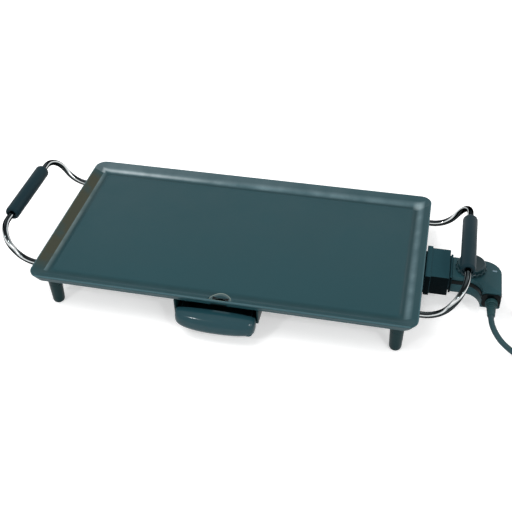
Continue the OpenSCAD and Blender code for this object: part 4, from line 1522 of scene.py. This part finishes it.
@dataclass
class Handles:
    """Two bent rods with moulded grips.

    The shoulder of a grip is a row of (distance from its end, how far inside its radius).
    """

    shop: Workshop
    radius: float = 0.0038
    low_bend: float = 0.034
    top_bend: float = 0.027
    knee: float = 0.257
    bore: float = 0.0040
    shoulder: tuple[Pair, ...] = (
        (0.0018, 0.0034), (0.0003, 0.0030), (0.0, 0.0026), (0.0003, 0.0016), (0.0010, 0.0007),
        (0.0020, 0.0002), (0.0034, 0.0))

    def rod(self) -> Piece:
        """Rod on the right.

        Returns:
            The rod.
        """
        low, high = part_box("right_handle_rod")
        r = self.radius
        z, top, side, out = low.z + r, high.z - r, high.y - r, high.x - r
        stops = [(low.x, side, z), (self.knee, side, z), (out, side, top), (out, -side, top),
                 (self.knee, -side, z), (low.x, -side, z)]
        bends = [self.low_bend, self.top_bend, self.top_bend, self.low_bend]
        rod = bent_rod("right_rod", stops, bends, r, 24)
        smooth(rod)
        return rod

    def grip(self) -> Piece:
        """Grip on the right: rounded shoulders and a dished end round the rod.

        Returns:
            The grip.
        """
        low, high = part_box("right_grip")
        r, mid = (high.x - low.x) / 2, middle(low, high)
        rise = [(self.shoulder[0][0], self.bore), *((at, r - within)
                                                    for at, within in self.shoulder)]
        steps = rise + [(2 * high.y - at, wide) for at, wide in reversed(rise)]
        grip = turned("right_grip_sleeve", (mid.x, -high.y, mid.z), AWAY, steps, 56)
        smooth(grip, 40)
        return grip

    def build(self) -> None:
        """Makes the right handle and mirrors it to the left."""
        for piece, twin, slot, node in (
                (self.rod(), "left_rod", "chrome_rod", "handle_rod"),
                (self.grip(), "left_grip_sleeve", "grip_black", "grip")):
            left = copy_of(piece, twin, mirror_x=True)
            self.shop.dress(piece, slot, "base", "right_" + node)
            self.shop.dress(left, slot, "base", "left_" + node)


@dataclass
class GreaseTray:
    """Pull-out tray with its pillow-shaped front, and the two rails that carry it.

    The pillow draws in towards its ends: what is left of its depth and height is the cosine of
    the way along to some power, but never less than a least part. The powers and the drop of its
    middle line below the top are given for the left half and the right half. The runners, tabs
    and the finger catch are given as (from, to).
    """

    shop: Workshop
    back: float = -0.047
    front: float = -0.123
    bottom: float = 0.0145
    top: float = 0.0365
    half: float = 0.044
    wall: float = 0.002
    corner: float = 0.005
    runner_out: Pair = (0.0435, 0.049)
    runner_level: Pair = (0.0288, 0.0308)
    runner_short: float = 0.007
    pillow_base: float = 0.0150
    roof_round: float = 0.0165
    base_round: float = 0.0080
    least_deep: float = 0.2
    least_high: float = 0.28
    deep_power: Pair = (0.50, 0.34)
    high_power: Pair = (0.52, 0.40)
    middle_drop: Pair = (0.0095, 0.0120)
    catch: tuple[Point, Point] = ((0.033, -0.1380, 0.0192), (0.0468, -0.1250, 0.0216))
    tab_wide: float = 0.0054
    tab_drop: Pair = (0.0100, 0.0072)
    tab_deep: Pair = (-0.0020, 0.0060)
    web: float = 0.0494
    lip: float = 0.004
    sheet: float = 0.002
    under: float = 0.0465
    flange_start: float = 0.0035

    def box(self) -> Piece:
        """Open box with round corners.

        Returns:
            The box.
        """
        tray = block("tray_box", (-self.half, self.front, self.bottom),
                     (self.half, self.back, self.top))
        with editing(tray):
            grab(Grab.EDGES, edge_along(UP))
            bevel(self.corner, 6)
            grab(Grab.FACES, facing(UP))
            inset(self.wall)
            pull(z=self.bottom + self.wall - self.top)
        soften(tray, 0.0005, 2)
        return tray

    def runner(self, side: int) -> Piece:
        """Runner along the tray's right side (1) or its left side (-1).

        Args:
            side: 1 or -1.

        Returns:
            The runner.
        """
        x0, x1 = sorted(side * out for out in self.runner_out)
        z0, z1 = self.runner_level
        piece = block("tray_runner", (x0, self.front + self.runner_short, z0),
                      (x1, self.back - self.runner_short, z1))
        soften(piece, 0.0004, 2)
        return piece

    def pillow(self) -> Piece:
        """Front: a bar with a full round face that draws in towards both ends.

        Returns:
            The front, with its catch and its tabs.
        """
        low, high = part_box("drip_tray")
        half, roof, base = high.x, high.z, self.pillow_base
        pillow = block("tray_pillow", (-half, low.y, base), (half, self.front + 0.0004, roof))
        angles = [radians(a) for a in range(-80, 81, 8)]
        with editing(pillow):
            for level, radius, steps in ((roof, self.roof_round, 16), (base, self.base_round, 9)):
                grab(Grab.EDGES, lambda e, level=level: edge_along(RIGHT)(e) and all(
                    abs(v.co.z - level) < 1e-4 and v.co.y < low.y + 1e-4 for v in e.verts))
                bevel(radius, steps)
            for a in angles:
                slice_at((half * sin(a), 0, 0), RIGHT)
            for a in [-pi / 2, *angles, pi / 2]:
                x, full, right = half * sin(a), max(0.0, cos(a)), int(a >= 0)
                deep = max(self.least_deep, full ** self.deep_power[right])
                rest = (1 - self.least_high) * full ** self.high_power[right]
                grab(Grab.VERTS, lambda v, x=x: abs(v.co.x - x) < 2e-5)
                shrink(1, deep, self.least_high + rest,
                       (x, self.front, roof - self.middle_drop[right]))
            grab(Grab.EDGES, lambda e: abs(e.verts[0].co.x - e.verts[1].co.x) < 1e-5 and all(
                abs(abs(v.co.x) - half) < 1e-4 for v in e.verts))
            bevel(0.0012, 3)
        smooth(pillow, 60)
        return joined("tray_pillow", [pillow, self._finger_catch(), *(
            self._side_tab(side, half, roof) for side in (-1, 1))])

    def _finger_catch(self) -> Piece:
        """Small ledge under the right end of the front, to pull it by.

        Returns:
            The ledge.
        """
        catch = block("finger_catch", *self.catch)
        with editing(catch):
            grab(Grab.EDGES, lambda e: edge_along(UP)(e)
                 and e.verts[0].co.y < self.catch[0][1] + 1e-4)
            bevel(self.corner, 6)
        soften(catch, 0.0006, 3)
        return catch

    def _side_tab(self, side: int, half: float, roof: float) -> Piece:
        """Short tab between the front and the tray's right side (1) or left side (-1).

        Args:
            side: 1 or -1.
            half: half the width of the front.
            roof: the height of its top.

        Returns:
            The tab.
        """
        x0, x1 = sorted((side * half, side * (half - self.tab_wide)))
        (drop, rise), (before, behind) = self.tab_drop, self.tab_deep
        tab = block("side_tab", (x0, self.front + before, roof - drop),
                    (x1, self.front + behind, roof - rise))
        soften(tab, 0.0004, 2)
        return tab

    def rail(self, side: int) -> Piece:
        """Rail on one side: a web, a flange against the plate and a lip under the runner.

        Args:
            side: 1 for the right one, -1 for the left one.

        Returns:
            The new rail.
        """
        name = "right" if side > 0 else "left"
        low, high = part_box(f"{name}_tray_rail")
        start, wide = low.y + self.flange_start, high.x - low.x - self.lip

        def bar(a: float, b: float, z0: float, z1: float, y: float = low.y) -> Piece:
            """Plain bar of the rail between two distances outwards from the web."""
            x0, x1 = sorted((side * (self.web + a), side * (self.web + b)))
            return block("rail_bar", (x0, y, z0), (x1, high.y, z1))

        sheet, lap = self.sheet, 0.0002
        rail = joined(f"rail_{name}", [
            bar(0, sheet, low.z, self.under),
            bar(lap, sheet - lap, self.under - 0.001, high.z, start),
            bar(sheet - lap, wide, high.z - sheet, high.z, start),
            bar(-self.lip, lap, low.z, low.z + sheet)])
        soften(rail, 0.0003, 2)
        return rail

    def build(self) -> None:
        """Makes and dresses the tray and its rails."""
        tray = joined("grease_tray", [self.box(), self.runner(-1), self.runner(1), self.pillow()])
        self.shop.dress(tray, "tray_black", "tray", "drip_tray")
        self.shop.dress(self.rail(-1), "black_phenolic", "base", "left_tray_rail")
        self.shop.dress(self.rail(1), "black_phenolic", "base", "right_tray_rail")


@dataclass
class Socket:
    """Socket housing on the plate's right side: a flange, and a mouth that is narrower."""

    shop: Workshop
    wall: float = 0.0045
    lip: float = 0.0025
    edge: float = 0.001
    rear: float = 0.2366
    front: float = 0.2431
    back_top: float = 0.0458

    def build(self) -> None:
        """Makes and dresses the housing with its flange and its cavity."""
        low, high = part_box("socket_housing")
        housing = block("socket_shell", (self.rear, low.y, low.z), (self.front, high.y, high.z))
        with editing(housing):
            grab(Grab.FACES, facing(RIGHT))
            inset(self.edge)
            shrink(1, (high.y - self.lip) / (high.y - self.edge), 1, middle(low, high))
            pull(x=high.x - self.front)
            inset(self.wall)
            pull(x=self.front - high.x)
        back = block("socket_rear", (low.x, low.y + self.lip, low.z + self.edge),
                     (self.rear + 0.0005, high.y - self.lip, self.back_top))
        soften(housing, 0.0007, 3)
        soften(back, 0.0005, 2)
        whole = joined("socket_shell", [housing, back])
        self.shop.dress(whole, "black_phenolic", "base", "socket_housing", paint="housing_black")


@dataclass
class Control:
    """Plug-in thermostat: collar, two shells with an elbow arm, dial and pilot lens."""

    shop: Workshop
    deck: float = 0.0195
    arm: float = 0.0235
    arm_end: float = -0.040
    arm_corner: float = 0.003
    outer_bend: float = 0.023
    dial_clear: float = 0.0130
    step: float = 0.001
    wall: float = 0.0018
    keel: float = 0.0042
    band: Pair = (0.0004, 0.0060)
    end_plate: tuple[Point, Point] = ((0.0010, -0.0004, 0.0012), (-0.0010, 0.0030, -0.0022))
    end_corner: float = 0.0045
    collar_thick: float = 0.0025
    nose: Triple = (0.0221, 0.0289, 0.0471)
    dial_ring: float = 0.0042
    scallops: int = 18
    scallop_size: float = 0.925
    knob: tuple[Pair, ...] = (
        (0.0038, 0.0150), (0.0054, 0.0150), (0.0055, 0.0162), (0.0060, 0.0165), (0.0084, 0.0165),
        (0.0092, 0.0162), (0.0099, 0.0154), (0.0100, 0.0150), (0.0098, 0.0144), (0.0097, 0.0138))

    def outline(self, name: str, inside: float, z0: float, z1: float) -> Piece:
        """Solid on the control's plan: a straight deck with an arm towards the front.

        Args:
            name: the piece's name.
            inside: how far the outline lies inside the full one.
            z0: its bottom.
            z1: its top.

        Returns:
            The new solid.
        """
        low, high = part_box("control_lower_shell")
        x0, x2 = low.x, high.x - inside
        x1 = high.x - self.arm + inside
        y, end = self.deck - inside, self.arm_end + inside
        elbow = x1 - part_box("dial_knob")[0].x - self.dial_clear
        bpy.ops.object.select_all(action="DESELECT")
        bpy.ops.mesh.primitive_plane_add(size=1, location=((x0 + x2) / 2, 0, z0))
        bpy.context.object.scale = (x2 - x0, 2 * y, 1)
        solid = settle(bpy.context.object, name)
        with editing(solid):
            slice_at((x1, 0, z0), RIGHT)
            grab(Grab.EDGES, lambda e: all(v.co.y < -y + 1e-5 and v.co.x > x1 - 1e-5
                                           for v in e.verts))
            pull(y=end + y)
            grab_all()
            bpy.ops.mesh.dissolve_limited(angle_limit=radians(1))
            for spot, radius, steps in (((x2, y), self.outer_bend - inside, 14),
                                        ((x1, -y), elbow, 12), ((x1, end), self.arm_corner, 4),
                                        ((x2, end), self.arm_corner, 4)):
                grab(Grab.VERTS, lambda v, s=spot: hypot(v.co.x - s[0], v.co.y - s[1]) < 1e-4)
                bevel(radius, steps, corners=True)
            grab_all()
            pull(z=z1 - z0)
            face_outwards()
        return solid

    def shells(self) -> tuple[Piece, Piece]:
        """Lower and upper shell, both hollow.

        Returns:
            The lower shell and the upper one.
        """
        low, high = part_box("control_lower_shell")
        base, split, top = low.z, high.z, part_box("control_upper_shell")[1].z
        lower = self.outline("control_base", 0.0, base, split)
        upper = self.outline("control_cover", self.step, split - 0.0002, top)
        with editing(lower):
            grab(Grab.EDGES, lambda e: edge_along(AWAY)(e) and all(
                v.co.z < base + 1e-4 and v.co.x > high.x - 1e-4 for v in e.verts))
            bevel(self.keel, 6)
        for shell, face, deep in ((lower, UP, base + self.wall - split),
                                  (upper, -UP, top - self.wall - split)):
            with editing(shell):
                grab(Grab.FACES, facing(face))
                inset(self.wall)
                pull(z=deep)
        soften(lower, 0.0008, 3)
        soften(upper, 0.0013, 4)
        return lower, upper

    def trim(self) -> Piece:
        """Glossy band in the step between the shells, near black partly as painted dark
        reflection, and the glossy plate on the arm's end.

        Returns:
            The band and the plate, as one piece.
        """
        low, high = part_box("control_lower_shell")
        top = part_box("control_upper_shell")[1].z
        foot, head = self.band
        band = self.outline("step_band", 0.0002, high.z + foot, high.z + head)
        soften(band, 0.0009, 3)
        (left, out, rise), (right, deep, drop) = self.end_plate
        plate = block("end_plate", (high.x - self.arm + left, self.arm_end + out, low.z + rise),
                      (high.x + right, self.arm_end + deep, top + drop))
        with editing(plate):
            grab(Grab.EDGES, edge_along(AWAY))
            bevel(self.end_corner, 6)
        soften(plate, 0.0008, 3)
        return joined("control_trim", [band, plate])

    def collar(self) -> Piece:
        """Nose that enters the socket, and the collar behind it.

        Returns:
            The nose and the collar, as one piece.
        """
        low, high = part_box("connector_block")
        cut = high.x - self.collar_thick
        half, bottom, top = self.nose
        nose = block("nose", (low.x, -half, bottom), (cut + 0.0004, half, top))
        plate = block("plate", (cut, low.y, low.z), high)
        soften(nose, 0.0008, 3)
        soften(plate, 0.0006, 3)
        return joined("connector_collar", [nose, plate])

    def dial(self) -> Piece:
        """Knob with finger scallops round its foot, a groove and a shallow dish on top.

        Returns:
            The dial.
        """
        low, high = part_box("dial_knob")
        x, wide, ring = middle(low, high).x, (high.x - low.x) / 2, self.dial_ring
        each = 8
        skirt = turned("dial_skirt", (x, 0, low.z), UP,
                       [(0, wide - 0.0004), (0.0004, wide), (ring - 0.0006, wide),
                        (ring, wide - 0.0006)], each * self.scallops)

        def notch(face: bmesh.types.BMFace) -> bool:
            """Side faces inside a scallop."""
            mid = face.calc_center_median()
            turn = atan2(mid.y, mid.x - x) / (2 * pi) * self.scallops
            return abs(face.normal.z) <= 0.9 and turn % 1 < 0.5

        with editing(skirt):
            grab(Grab.FACES, notch)
            shrink(self.scallop_size, self.scallop_size, 1, (x, 0, low.z))
        smooth(skirt, 32)
        knob = turned("dial_body", (x, 0, low.z), UP, self.knob, 96)
        smooth(knob, 34)
        return joined("dial", [skirt, knob])

    def lens(self) -> Piece:
        """Pilot lens in the cover.

        Returns:
            The lens.
        """
        lens = block("pilot_window", *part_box("pilot_lens"))
        soften(lens, 0.0004, 3)
        return lens

    def build(self) -> None:
        """Makes and dresses the control."""
        lower, upper = self.shells()
        dress = self.shop.dress
        dress(lower, "control_black", "control", "control_lower_shell")
        dress(upper, "control_black", "control", "control_upper_shell")
        dress(self.trim(), "control_black", "control", paint="gloss_black")
        dress(self.collar(), "black_phenolic", "control", "connector_block",
              paint="housing_black")
        dress(self.dial(), "dial_black", "dial", "dial_knob", "dial_cap")
        dress(self.lens(), "lens_blue", "control", "pilot_lens")


def main() -> None:
    """Builds the studio and every sub-assembly."""
    logging.basicConfig(level=logging.INFO, format="%(name)s: %(message)s")
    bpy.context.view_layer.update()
    Studio().build()
    shop = Workshop()
    for part in (SupplyCord, CookingPlate, Feet, Handles, GreaseTray, Socket, Control):
        part(shop).build()
    shop.carry_over()


if __name__ == "__main__":
    main()
